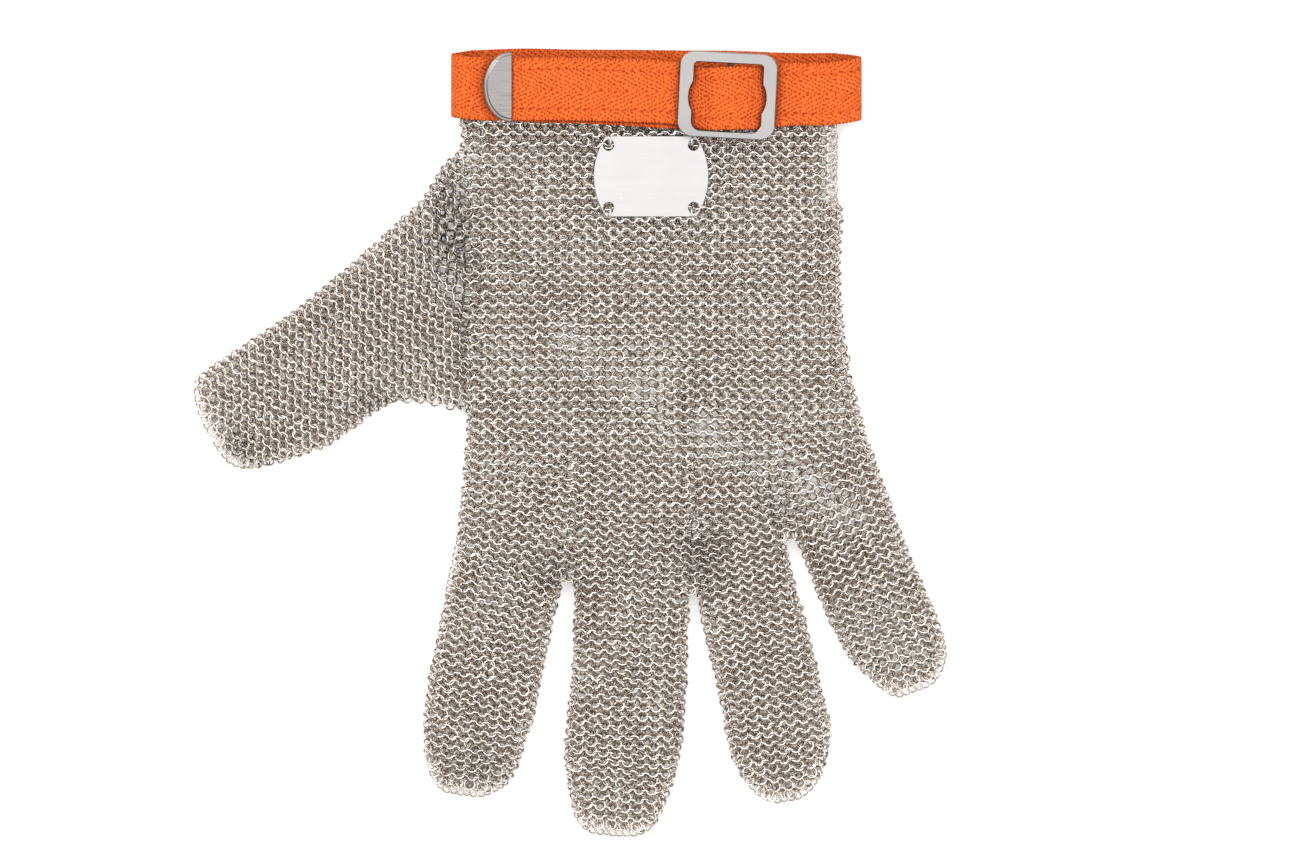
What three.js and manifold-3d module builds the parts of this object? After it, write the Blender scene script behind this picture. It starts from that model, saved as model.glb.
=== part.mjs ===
// A ring-mail shucking glove lying flat, palm down: mail hand, five mail fingers and a wrist strap.
// Millimetres, +Z up. The fingers point towards -Y and the cuff opens towards +Y.
import * as THREE from 'three';
import { mergeVertices } from 'three/addons/utils/BufferGeometryUtils.js';
import Module from 'manifold-3d';

// Clearances
const gap = 0.3;
const tuck = 0.05;

// Mail: one sheet of linked rings above and one below the hollow for the hand
const mailWall = 1.8;
const hollowDepth = 5;

// Hand
const palmLength = 160;
const cuffWidth = 123;
const thumbLength = 97;
const thumbWidth = 42;
const indexLength = 70.5;
const indexWidth = 36;
const middleLength = 78.5;
const middleWidth = 38;
const ringLength = 71.5;
const ringWidth = 34;
const littleLength = 62.5;
const littleWidth = 33;
const slitLength = 24;
const slitHeight = 2;

// Wrist strap
const strapWidth = 20;
const strapThickness = 1.2;
const strapCover = 11;
const rampLength = 18;
const leftSlack = 0.7;
const rightSlack = 3.9;
const loopSlack = 1.4;
const loopEase = 0.15;
const loopTail = 2;
const loopTurn = 240;
const freeEndLength = 68.4;

// Buckle
const buckleWidth = 31.7;
const buckleSideBar = 4.6;
const buckleTopBar = 3.6;
const buckleBottomBar = 2;
const buckleThickness = 1.6;
const buckleCorner = 4.8;
const windowCorner = 2;
const windowClearance = 0.85;
const notchDepth = 1.3;
const crossBarWidth = 2;
const crossBarThickness = 1.2;
const buckleTurn = -3;
const buckleShare = 0.2;
const buckleDrop = 2.7;

// Strap end cap
const capReach = 8.6;
const capOverhang = 1.1;
const capFloor = 0.5;
const capRim = 1.3;
const capRimRise = 0.3;
const capMouth = 0.6;
const pocketDepth = 2.6;
const capShift = 0.5;

// Name plate
const plateWidth = 36.3;
const plateHeight = 25.5;
const plateThickness = 0.8;
const plateSideRadius = 23;
const plateHole = 3.5;
const holeSpanAcross = 27;
const holeSpanAlong = 19.8;
const plateDrop = 4.8;

const mailDepth = hollowDepth + 2 * mailWall;
const knuckleWidth = indexWidth + middleWidth + ringWidth + littleWidth;
const cuffLift = strapThickness + gap;
const cuffTop = cuffLift + mailDepth;
const strapEdge = -strapCover;

// The palm from the cuff edge to the knuckles. along is a share of palmLength, and left and right are
// shares of the width, which spreads from cuffWidth to knuckleWidth; depth is a share of mailDepth.
const palmRows = [
  { along: 0.0, left: -0.496, right: 0.503, spread: 0, depth: 1 },
  { along: 0.08, left: -0.496, right: 0.5, spread: 0, depth: 1.01 },
  { along: 0.17, left: -0.486, right: 0.5, spread: 0, depth: 1.17 },
  { along: 0.28, left: -0.48, right: 0.498, spread: 0, depth: 1.17 },
  { along: 0.42, left: -0.48, right: 0.497, spread: 0, depth: 1.1 },
  { along: 0.55, left: -0.462, right: 0.498, spread: 0.25, depth: 1.06 },
  { along: 0.65, left: -0.446, right: 0.509, spread: 0.5, depth: 1.04 },
  { along: 0.72, left: -0.437, right: 0.52, spread: 0.7, depth: 1.03 },
  { along: 0.8, left: -0.434, right: 0.54, spread: 0.9, depth: 1.02 },
  { along: 0.88, left: -0.439, right: 0.567, spread: 1, depth: 1.01 },
  { along: 1.04, left: -0.455, right: 0.6, spread: 1, depth: 1 },
];

// A finger's rows run from inside the palm to its tip. along is a share of its length, left and right
// are shares of its width and depth is a share of mailDepth.
const indexRows = [
  { along: -0.16, left: -0.52, right: 0.49, depth: 0.99 },
  { along: 0.0, left: -0.545, right: 0.48, depth: 0.99 },
  { along: 0.2, left: -0.545, right: 0.455, depth: 0.99 },
  { along: 0.4, left: -0.56, right: 0.44, depth: 0.99 },
  { along: 0.6, left: -0.565, right: 0.43, depth: 0.99 },
  { along: 0.75, left: -0.53, right: 0.385, depth: 0.98 },
  { along: 0.86, left: -0.48, right: 0.345, depth: 0.96 },
  { along: 0.94, left: -0.41, right: 0.25, depth: 0.9 },
  { along: 0.98, left: -0.34, right: 0.13, depth: 0.78 },
  { along: 1.0, left: -0.26, right: 0.03, depth: 0.62 },
];
const middleRows = [
  { along: -0.14, left: -0.49, right: 0.48, depth: 0.99 },
  { along: 0.02, left: -0.495, right: 0.485, depth: 0.99 },
  { along: 0.2, left: -0.48, right: 0.495, depth: 0.99 },
  { along: 0.4, left: -0.475, right: 0.515, depth: 0.99 },
  { along: 0.6, left: -0.5, right: 0.505, depth: 0.99 },
  { along: 0.74, left: -0.475, right: 0.47, depth: 0.98 },
  { along: 0.86, left: -0.42, right: 0.405, depth: 0.96 },
  { along: 0.94, left: -0.365, right: 0.33, depth: 0.9 },
  { along: 0.98, left: -0.29, right: 0.25, depth: 0.78 },
  { along: 1.0, left: -0.2, right: 0.14, depth: 0.62 },
];
const ringRows = [
  { along: -0.26, left: -0.5, right: 0.355, depth: 0.99 },
  { along: -0.1, left: -0.53, right: 0.375, depth: 0.99 },
  { along: 0.05, left: -0.535, right: 0.405, depth: 0.99 },
  { along: 0.25, left: -0.515, right: 0.465, depth: 0.99 },
  { along: 0.5, left: -0.47, right: 0.525, depth: 0.99 },
  { along: 0.68, left: -0.455, right: 0.555, depth: 0.99 },
  { along: 0.82, left: -0.4, right: 0.49, depth: 0.97 },
  { along: 0.92, left: -0.29, right: 0.38, depth: 0.92 },
  { along: 0.975, left: -0.19, right: 0.26, depth: 0.78 },
  { along: 1.0, left: -0.09, right: 0.15, depth: 0.62 },
];
const littleRows = [
  { along: -0.18, left: -0.5, right: 0.47, depth: 0.99 },
  { along: 0.0, left: -0.52, right: 0.48, depth: 0.99 },
  { along: 0.2, left: -0.515, right: 0.49, depth: 0.99 },
  { along: 0.4, left: -0.5, right: 0.505, depth: 0.99 },
  { along: 0.6, left: -0.46, right: 0.545, depth: 0.99 },
  { along: 0.72, left: -0.42, right: 0.55, depth: 0.98 },
  { along: 0.84, left: -0.31, right: 0.53, depth: 0.96 },
  { along: 0.92, left: -0.22, right: 0.46, depth: 0.9 },
  { along: 0.97, left: -0.16, right: 0.36, depth: 0.8 },
  { along: 1.0, left: -0.08, right: 0.24, depth: 0.62 },
];
const thumbRows = [
  { along: -0.4, left: -0.8, right: 0.5, depth: 0.96 },
  { along: -0.21, left: -1.03, right: 0.7, depth: 0.98 },
  { along: -0.03, left: -0.775, right: 0.82, depth: 0.99 },
  { along: 0.1, left: -0.69, right: 0.86, depth: 0.99 },
  { along: 0.21, left: -0.63, right: 0.86, depth: 0.99 },
  { along: 0.3, left: -0.585, right: 0.7, depth: 0.99 },
  { along: 0.385, left: -0.54, right: 0.535, depth: 0.99 },
  { along: 0.5, left: -0.495, right: 0.525, depth: 0.99 },
  { along: 0.62, left: -0.455, right: 0.57, depth: 0.99 },
  { along: 0.74, left: -0.435, right: 0.56, depth: 0.99 },
  { along: 0.84, left: -0.415, right: 0.5, depth: 0.98 },
  { along: 0.92, left: -0.395, right: 0.46, depth: 0.95 },
  { along: 0.965, left: -0.33, right: 0.39, depth: 0.88 },
  { along: 0.99, left: -0.2, right: 0.31, depth: 0.75 },
  { along: 1.0, left: -0.07, right: 0.2, depth: 0.62 },
];

// The four fingers from the index to the little one. lean is in degrees from the hand's direction, and
// step is the way from one root to the next as a share of the two fingers' mean width. web is the fork
// beside the finger: its place as a share of the finger's width, and its distance from the cuff as a
// share of palmLength. start and cut are the root's distance from the cuff and where the finger leaves
// the palm, as shares of palmLength and of the finger's length.
const firstRoot = -0.32 * knuckleWidth;
const palmCornerAlong = 0.965;
const fingers = [
  {
    name: 'mail_index_finger', length: indexLength, width: indexWidth, rows: indexRows,
    lean: -9.4, step: 1.065, start: 0.982, cut: 0.06, web: 0.53, webAlong: 0.998,
  },
  {
    name: 'mail_middle_finger', length: middleLength, width: middleWidth, rows: middleRows,
    lean: -3.8, step: 1.058, start: 1.004, cut: 0.06, web: 0.5, webAlong: 1.03,
  },
  {
    name: 'mail_ring_finger', length: ringLength, width: ringWidth, rows: ringRows,
    lean: 7.7, step: 0.854, start: 0.984, cut: 0.085, web: 0.326, webAlong: 0.9,
  },
  {
    name: 'mail_little_finger', length: littleLength, width: littleWidth, rows: littleRows,
    lean: 18.9, step: 1, start: 0.845, cut: 0.08, web: 0.45, webAlong: 0.815,
  },
];
const thumb = {
  name: 'mail_thumb', length: thumbLength, width: thumbWidth, rows: thumbRows, lean: -61.2,
};
const thumbRoot = { across: -0.464, along: 0.391 };

// The seam between thumb and palm, from near the cuff to the fork. across is a share of cuffWidth and
// along a share of palmLength.
const seam = { topAcross: -0.511, topAlong: 0.087, lowAcross: -0.485, lowAlong: 0.679 };

// Dents and swells of the upper sheet. across and length are shares of cuffWidth and palmLength, along
// is a share of palmLength, breadth of cuffWidth, rise of hollowDepth, and turn is in degrees from the
// hand's own direction.
const folds = [
  { across: -0.45, along: 0.38, turn: 0, length: 0.16, breadth: 0.035, rise: -0.11 },
  { across: -0.21, along: 0.93, turn: 0, length: 0.06, breadth: 0.04, rise: -0.09 },
  { across: 0.1, along: 0.93, turn: 4, length: 0.09, breadth: 0.045, rise: -0.1 },
  { across: 0.36, along: 0.82, turn: 12, length: 0.08, breadth: 0.04, rise: -0.09 },
  { across: -0.1, along: 0.55, turn: 64, length: 0.06, breadth: 0.22, rise: 0.05 },
  { across: 0.28, along: 0.66, turn: -20, length: 0.12, breadth: 0.12, rise: 0.06 },
  { across: -0.33, along: 0.8, turn: -8, length: 0.1, breadth: 0.09, rise: 0.06 },
  { across: -0.8, along: 0.55, turn: -50, length: 0.1, breadth: 0.08, rise: 0.05 },
  { across: 0.22, along: 0.4, turn: 0, length: 0.2, breadth: 0.03, rise: -0.05 },
];

// The strap's way round the wrist. shift is how far it lies towards the cuff, as a share of strapWidth.
// In backRun, across is the share of the way from the left fold to the right one.
const foldShifts = { leftTop: 0.01, leftBack: 0.08, rightBack: 0.08, rightTop: -0.045 };
const backRun = [
  { across: 0.01, shift: 0.085 },
  { across: 0.15, shift: 0.12 },
  { across: 0.35, shift: 0.15 },
  { across: 0.7, shift: 0.125 },
  { across: 0.99, shift: 0.08 },
];

// The lower layer between the buckle and the left fold. across is the share of the way from the fold to
// the buckle, and drawn is the share of buckleDrop that the strap is pulled down by.
const lowerRun = [
  { across: 0.8, drawn: 0.8 },
  { across: 0.4, drawn: 0.1 },
];

// The crossing of the buckle, from the right. beside is a share of half the buckle's width, and level
// runs from 0 at the lower layer through 1 at the upper layer to 2 at the crest over the cross bar.
const crossing = [
  { beside: 1.25, level: 0, drawn: 0.45 },
  { beside: 0.85, level: 0.45, drawn: 0.75 },
  { beside: 0.52, level: 1.3, drawn: 1 },
  { beside: 0.27, level: 1.82, drawn: 1 },
  { beside: 0, level: 2, drawn: 1 },
  { beside: -0.27, level: 1.82, drawn: 1 },
  { beside: -0.48, level: 1.27, drawn: 1 },
  { beside: -0.68, level: 1, drawn: 0.75 },
  { beside: -1.1, level: 1, drawn: 0.3 },
];

const wasm = await Module();
wasm.setup();

// A closed geometry as a solid that can be joined and cut.
function solidOf(geometry) {
  const bare = geometry.index ? geometry.toNonIndexed() : geometry.clone();
  bare.deleteAttribute('normal');
  bare.deleteAttribute('uv');
  const merged = mergeVertices(bare, 1e-4);
  return new wasm.Manifold(new wasm.Mesh({
    numProp: 3,
    vertProperties: new Float32Array(merged.attributes.position.array),
    triVerts: new Uint32Array(merged.index.array),
  }));
}

function geometryOf(solid) {
  const mesh = solid.getMesh();
  const geometry = new THREE.BufferGeometry();
  geometry.setAttribute('position', new THREE.BufferAttribute(mesh.vertProperties, 3));
  geometry.setIndex(new THREE.BufferAttribute(mesh.triVerts, 1));
  geometry.computeVertexNormals();
  return geometry;
}

function joined(solids) {
  return solids.reduce((whole, solid) => whole.add(solid));
}

// A closed skin over sections that have the same number of points, with a fan over each end.
function skinOver(sections) {
  const around = sections[0].length;
  const points = sections.flat();
  const faces = [];
  for (let i = 0; i < sections.length - 1; i++) {
    for (let j = 0; j < around; j++) {
      const here = i * around + j;
      const next = i * around + (j + 1) % around;
      faces.push(here, here + around, next, next, here + around, next + around);
    }
  }
  const ends = [sections[0], sections[sections.length - 1]];
  ends.forEach((section, end) => {
    const middle = new THREE.Vector3();
    section.forEach((point) => middle.addScaledVector(point, 1 / around));
    const centre = points.push(middle) - 1;
    const first = end * (sections.length - 1) * around;
    for (let j = 0; j < around; j++) {
      const here = first + j;
      const next = first + (j + 1) % around;
      faces.push(...(end ? [here, centre, next] : [next, centre, here]));
    }
  });
  const geometry = new THREE.BufferGeometry().setFromPoints(points);
  geometry.setIndex(faces);
  return geometry;
}

function mix(from, to, share) {
  return from + (to - from) * share;
}

// The rows of a table joined by a smooth curve through each column and read at even steps.
function smoothRows(rows, steps) {
  const columns = Object.keys(rows[0]);
  const curves = columns.map((column) => new THREE.SplineCurve(
    rows.map((row, place) => new THREE.Vector2(place, row[column])),
  ));
  return Array.from({ length: steps + 1 }, (_, step) => Object.fromEntries(
    columns.map((column, i) => [column, curves[i].getPoint(step / steps).y]),
  ));
}

// The row at a share along, between the two rows that lie either side of it.
function rowAt(rows, along) {
  const found = rows.findIndex((row) => row.along >= along);
  const high = found < 0 ? rows.length - 1 : Math.max(1, found);
  const low = rows[high - 1];
  const share = (along - low.along) / (rows[high].along - low.along);
  return Object.fromEntries(Object.keys(low).map(
    (column) => [column, mix(low[column], rows[high][column], share)],
  ));
}

// A flattened loop: share runs across the flat, and side and level are the way out to a round edge.
function flatLoop(columns, arcSteps) {
  const loop = [];
  for (let i = 0; i <= arcSteps; i++) {
    const angle = Math.PI * (i / arcSteps - 0.5);
    loop.push({ share: 0, side: -Math.cos(angle), level: Math.sin(angle) });
  }
  for (let i = 1; i < columns; i++) {
    loop.push({ share: i / columns, side: 0, level: 1 });
  }
  for (let i = 0; i <= arcSteps; i++) {
    const angle = Math.PI * (0.5 - i / arcSteps);
    loop.push({ share: 1, side: Math.cos(angle), level: Math.sin(angle) });
  }
  for (let i = columns - 1; i > 0; i--) {
    loop.push({ share: i / columns, side: 0, level: -1 });
  }
  return loop;
}

// How far the mail is lifted off the ground: over the strap's back layer, and down beyond it.
function liftAt(y) {
  const rampStart = strapEdge - rampLength;
  return cuffLift * THREE.MathUtils.smoothstep(y, rampStart, strapEdge);
}

function reliefAt(x, y) {
  const clearOfStrap = 1 - liftAt(y) / cuffLift;
  const sum = folds.reduce((total, fold) => {
    const turn = THREE.MathUtils.degToRad(fold.turn);
    const dx = x - fold.across * cuffWidth;
    const dy = -y - fold.along * palmLength;
    const onward = dy * Math.cos(turn) + dx * Math.sin(turn);
    const sideways = dx * Math.cos(turn) - dy * Math.sin(turn);
    const reach = (onward / (fold.length * palmLength)) ** 2 + (sideways / (fold.breadth * cuffWidth)) ** 2;
    return total + fold.rise * hollowDepth * Math.exp(-reach);
  }, 0);
  return sum * clearOfStrap;
}

// A point of the mail: its upper side follows the folds, and all of it rises over the strap.
function settled(x, y, z, level) {
  return new THREE.Vector3(x, y, z + liftAt(y) + reliefAt(x, y) * (level + 1) / 2);
}

// The side edges and depth of a section, less the inset that makes the hollow inside the mail.
function loopPoint(spot, left, right, depth, inset) {
  const halfDepth = depth / 2 - inset;
  const round = Math.min(halfDepth, (right - left) / 2 - inset);
  const across = mix(left + inset + round, right - inset - round, spot.share) + spot.side * round;
  return { across, height: depth / 2 + spot.level * halfDepth };
}

// The palm's skin, from the cuff to the forks between the fingers.
function palmSkin(inset) {
  const rows = smoothRows(palmRows, 40);
  const loop = flatLoop(12, 4);
  const stations = 18;
  const overshoot = inset > 0 ? 1 : 0;
  const widthAt = (row) => mix(cuffWidth, knuckleWidth, row.spread);
  const webLine = [
    { across: palmRows[palmRows.length - 1].left * knuckleWidth, reach: palmCornerAlong },
    ...fingers.map((finger) => (
      { across: finger.root.x + finger.web * finger.width, reach: finger.webAlong }
    )),
  ];
  const leftEnd = webLine[0].across;
  const span = webLine[webLine.length - 1].across - leftEnd;
  const webRows = webLine.map((web) => ({ along: (web.across - leftEnd) / span, reach: web.reach }));
  const sections = [];
  for (let i = 0; i <= stations; i++) {
    sections.push(loop.map((spot) => {
      const reach = rowAt(webRows, spot.share).reach * palmLength - inset;
      const distance = mix(-overshoot, reach, i / stations);
      const row = rowAt(rows, Math.max(0, distance / palmLength));
      const width = widthAt(row);
      const place = loopPoint(spot, row.left * width, row.right * width, row.depth * mailDepth, inset);
      return settled(place.across, -distance, place.height, spot.level);
    }));
  }
  return solidOf(skinOver(sections));
}

// A finger's skin, in the palm's frame: its rows run down a straight line from its root.
function fingerSkin(finger, inset) {
  const rows = smoothRows(finger.rows, finger.rows.length + 3);
  const loop = flatLoop(4, 4);
  const lean = THREE.MathUtils.degToRad(finger.lean);
  const sections = rows.map((row) => {
    const distance = row.along * (row.along > 0 ? finger.length - inset : finger.length);
    return loop.map((spot) => {
      const depth = row.depth * mailDepth;
      const place = loopPoint(spot, row.left * finger.width, row.right * finger.width, depth, inset + tuck);
      const x = finger.root.x + distance * Math.sin(lean) + place.across * Math.cos(lean);
      const y = finger.root.y - distance * Math.cos(lean) + place.across * Math.sin(lean);
      return settled(x, y, place.height, spot.level);
    });
  });
  return solidOf(skinOver(sections));
}

// A large block on one side of a line across the plan, used to cut a finger from the palm.
function blockBeyond(x, y, turn, shift) {
  const size = 4 * palmLength;
  const block = new THREE.BoxGeometry(size, size, size);
  block.translate(0, -size / 2 - shift, 0);
  block.rotateZ(turn);
  block.translate(x, y, 0);
  return solidOf(block);
}

function placeRoots() {
  let across = firstRoot;
  fingers.forEach((finger, i) => {
    if (i > 0) {
      const before = fingers[i - 1];
      across += before.step * (before.width + finger.width) / 2;
    }
    finger.root = new THREE.Vector2(across, -finger.start * palmLength);
  });
  thumb.root = new THREE.Vector2(thumbRoot.across * cuffWidth, -thumbRoot.along * palmLength);
}

function seamBlock(shift) {
  const top = new THREE.Vector2(seam.topAcross * cuffWidth, -seam.topAlong * palmLength);
  const low = new THREE.Vector2(seam.lowAcross * cuffWidth, -seam.lowAlong * palmLength);
  const turn = low.clone().sub(top).angle();
  return blockBeyond(top.x, top.y, turn, shift);
}

// The side slit that lets the cuff spread, cut between the two sheets at the little finger's side.
function slitBlock() {
  const right = palmRows[0].right * cuffWidth;
  const block = new THREE.BoxGeometry(mailDepth, strapCover + slitLength, slitHeight);
  block.translate(right, -(strapCover + slitLength) / 2, (cuffTop + cuffLift / 2) / 2);
  return solidOf(block);
}

function mailSolids() {
  placeRoots();
  const hollow = joined([palmSkin(mailWall), ...[thumb, ...fingers].map((f) => fingerSkin(f, mailWall))]);
  const parts = [];
  const stubs = [];
  fingers.forEach((finger) => {
    const outside = fingerSkin(finger, 0);
    const lean = THREE.MathUtils.degToRad(finger.lean);
    const shift = finger.cut * finger.length;
    stubs.push(outside.subtract(blockBeyond(finger.root.x, finger.root.y, lean, shift)));
    const beyond = outside.intersect(blockBeyond(finger.root.x, finger.root.y, lean, shift + gap));
    parts.push([finger.name, beyond.subtract(hollow)]);
  });
  const thumbOutside = fingerSkin(thumb, 0);
  stubs.push(thumbOutside.subtract(seamBlock(0)));
  parts.push([thumb.name, thumbOutside.intersect(seamBlock(gap)).subtract(hollow)]);
  const palm = joined([palmSkin(0), ...stubs]).subtract(hollow).subtract(slitBlock());
  parts.unshift(['mail_palm', palm]);
  return parts;
}

// Strap levels, each the middle of the webbing
const backLevel = strapThickness / 2;
const lowerLevel = cuffTop + gap + strapThickness / 2;
const upperLevel = lowerLevel + strapThickness + gap;
const capBase = lowerLevel + strapThickness / 2 + gap;
const capLevel = capBase + capFloor + gap + strapThickness / 2;
const frameBase = upperLevel + strapThickness / 2 + gap;
const crossBarLevel = lowerLevel + (strapThickness + crossBarThickness) / 2 + gap + loopEase;
const loopReach = crossBarWidth / 2 + gap + strapThickness / 2 + loopSlack;
const loopRise = crossBarLevel - lowerLevel;
const crestLevel = crossBarLevel + loopRise + strapThickness + gap;
const strapMiddle = strapEdge + strapWidth / 2;
const buckleX = buckleShare * cuffWidth;
const buckleY = strapMiddle - buckleDrop;
const leftFoldX = palmRows[0].left * cuffWidth + mailDepth / 2;
const rightFoldX = palmRows[0].right * cuffWidth - mailDepth / 2;
const capX = buckleX - freeEndLength;
const capY = strapMiddle + capShift;

function arcPoints(x, z, reachX, reachZ, from, to, steps) {
  return Array.from({ length: steps + 1 }, (_, i) => {
    const angle = THREE.MathUtils.degToRad(mix(from, to, i / steps));
    return [x + reachX * Math.cos(angle), z + reachZ * Math.sin(angle)];
  });
}

// The level of a place in the crossing: the lower layer, the upper layer and the crest are 0, 1 and 2.
function crossingLevel(level) {
  return level < 1 ? mix(lowerLevel, upperLevel, level) : mix(upperLevel, crestLevel, level - 1);
}

// The webbing's route as places along its middle line, each with its shift along the hand.
function strapRoute() {
  const foldMiddle = (lowerLevel + backLevel) / 2;
  const foldRise = (lowerLevel - backLevel) / 2;
  const foldSteps = 10;
  const loop = arcPoints(buckleX, crossBarLevel, loopReach, loopRise, loopTurn - 90, -90, foldSteps);
  const leftFold = arcPoints(leftFoldX, foldMiddle, foldRise + leftSlack, foldRise, 90, 270, foldSteps);
  const rightFold = arcPoints(rightFoldX, foldMiddle, foldRise + rightSlack, foldRise, -90, 90, foldSteps);
  const shiftedBy = (from, to, i) => mix(from, to, i / foldSteps) * strapWidth;
  const pocketEnd = capX + capMouth - pocketDepth + gap;
  return [
    [loop[0][0] - loopTail, loop[0][1] - strapThickness / 2, -buckleDrop],
    ...loop.map(([x, z]) => [x, z, -buckleDrop]),
    ...lowerRun.map((spot) => [mix(leftFoldX, buckleX, spot.across), lowerLevel, -spot.drawn * buckleDrop]),
    ...leftFold.map(([x, z], i) => [x, z, shiftedBy(foldShifts.leftTop, foldShifts.leftBack, i)]),
    ...backRun.map((spot) => [mix(leftFoldX, rightFoldX, spot.across), backLevel, spot.shift * strapWidth]),
    ...rightFold.map(([x, z], i) => [x, z, shiftedBy(foldShifts.rightBack, foldShifts.rightTop, i)]),
    ...crossing.map((spot) => [
      buckleX + spot.beside * buckleWidth / 2, crossingLevel(spot.level), -spot.drawn * buckleDrop,
    ]),
    [mix(capX, buckleX, 0.45), upperLevel, 0],
    [mix(capX, buckleX, 0.16), (upperLevel + capLevel) / 2, capShift / 2],
    [capX, capLevel, capShift],
    [pocketEnd, capLevel, capShift],
  ];
}

function strapSolid() {
  const spots = strapRoute().map(([x, z, shift]) => new THREE.Vector3(x, strapMiddle + shift, z));
  const route = new THREE.CatmullRomCurve3(spots, false, 'centripetal');
  const sections = [];
  const perGap = 2;
  const steps = (spots.length - 1) * perGap;
  for (let i = 0; i <= steps; i++) {
    const middle = route.getPoint(i / steps);
    const onward = route.getTangent(i / steps);
    const normal = new THREE.Vector3(-onward.z, 0, onward.x).normalize();
    const corners = [[-0.5, 0.5], [0.5, 0.5], [0.5, -0.5], [-0.5, -0.5]];
    sections.push(corners.map(([across, up]) => middle.clone()
      .addScaledVector(normal, up * strapThickness)
      .add(new THREE.Vector3(0, across * strapWidth, 0))));
  }
  return solidOf(skinOver(sections));
}

function roundedRectangle(path, left, low, right, high, corner) {
  path.moveTo(left + corner, low);
  path.lineTo(right - corner, low);
  path.absarc(right - corner, low + corner, corner, -Math.PI / 2, 0);
  path.lineTo(right, high - corner);
  path.absarc(right - corner, high - corner, corner, 0, Math.PI / 2);
  path.lineTo(left + corner, high);
  path.absarc(left + corner, high - corner, corner, Math.PI / 2, Math.PI);
  path.lineTo(left, low + corner);
  path.absarc(left + corner, low + corner, corner, Math.PI, 1.5 * Math.PI);
  return path;
}

// The buckle's window, whose two sides bow out in a shallow notch.
function windowPath(halfWidth, halfHeight) {
  const path = new THREE.Path();
  const inside = halfHeight - windowCorner;
  const notch = halfHeight * 0.45;
  path.moveTo(-halfWidth + windowCorner, -halfHeight);
  path.lineTo(halfWidth - windowCorner, -halfHeight);
  path.absarc(halfWidth - windowCorner, -inside, windowCorner, -Math.PI / 2, 0);
  path.lineTo(halfWidth, -notch);
  path.bezierCurveTo(halfWidth, -notch / 2, halfWidth + notchDepth, -notch / 2, halfWidth + notchDepth, 0);
  path.bezierCurveTo(halfWidth + notchDepth, notch / 2, halfWidth, notch / 2, halfWidth, notch);
  path.lineTo(halfWidth, inside);
  path.absarc(halfWidth - windowCorner, inside, windowCorner, 0, Math.PI / 2);
  path.lineTo(-halfWidth + windowCorner, halfHeight);
  path.absarc(-halfWidth + windowCorner, inside, windowCorner, Math.PI / 2, Math.PI);
  path.lineTo(-halfWidth, notch);
  path.bezierCurveTo(-halfWidth, notch / 2, -halfWidth - notchDepth, notch / 2, -halfWidth - notchDepth, 0);
  path.bezierCurveTo(-halfWidth - notchDepth, -notch / 2, -halfWidth, -notch / 2, -halfWidth, -notch);
  path.lineTo(-halfWidth, -inside);
  path.absarc(-halfWidth + windowCorner, -inside, windowCorner, Math.PI, 1.5 * Math.PI);
  return path;
}

// The frame in its own plane, with the cross bar hung just below it.
function buckleSolid() {
  const windowHalfWidth = buckleWidth / 2 - buckleSideBar;
  const windowHalfHeight = strapWidth / 2 + windowClearance;
  const high = windowHalfHeight + buckleTopBar;
  const low = -windowHalfHeight - buckleBottomBar;
  const side = buckleWidth / 2;
  const outline = roundedRectangle(new THREE.Shape(), -side, low, side, high, buckleCorner);
  outline.holes.push(windowPath(windowHalfWidth, windowHalfHeight));
  const edge = buckleThickness * 0.2;
  const frame = new THREE.ExtrudeGeometry(outline, {
    depth: buckleThickness - 2 * edge, curveSegments: 5,
    bevelSegments: 1, bevelThickness: edge, bevelSize: edge, bevelOffset: -edge,
  });
  frame.translate(0, 0, frameBase + edge);
  const barLow = crossBarLevel - crossBarThickness / 2;
  const barHigh = crossBarLevel + crossBarThickness / 2;
  const post = buckleBottomBar - 2 * edge;
  const weld = frameBase + buckleThickness / 2;
  const bar = new THREE.Shape([
    new THREE.Vector2(-windowHalfHeight - post, barLow),
    new THREE.Vector2(windowHalfHeight + post, barLow),
    new THREE.Vector2(windowHalfHeight + post, weld),
    new THREE.Vector2(windowHalfHeight + edge, weld),
    new THREE.Vector2(windowHalfHeight + edge, barHigh),
    new THREE.Vector2(-windowHalfHeight - edge, barHigh),
    new THREE.Vector2(-windowHalfHeight - edge, weld),
    new THREE.Vector2(-windowHalfHeight - post, weld),
  ]);
  const crossBar = new THREE.ExtrudeGeometry(bar, { depth: crossBarWidth, bevelEnabled: false });
  crossBar.rotateY(Math.PI / 2);
  crossBar.rotateX(Math.PI / 2);
  crossBar.translate(-crossBarWidth / 2, 0, 0);
  return solidOf(frame).add(solidOf(crossBar));
}

// The cap's outline: a half ellipse, with a straight stretch past the edge where the webbing enters.
function capShape(reach, half, straight) {
  const shape = new THREE.Shape();
  shape.moveTo(straight, half);
  shape.absellipse(0, 0, reach, half, Math.PI / 2, 1.5 * Math.PI, false, 0);
  shape.lineTo(straight, -half);
  return shape;
}

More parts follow.
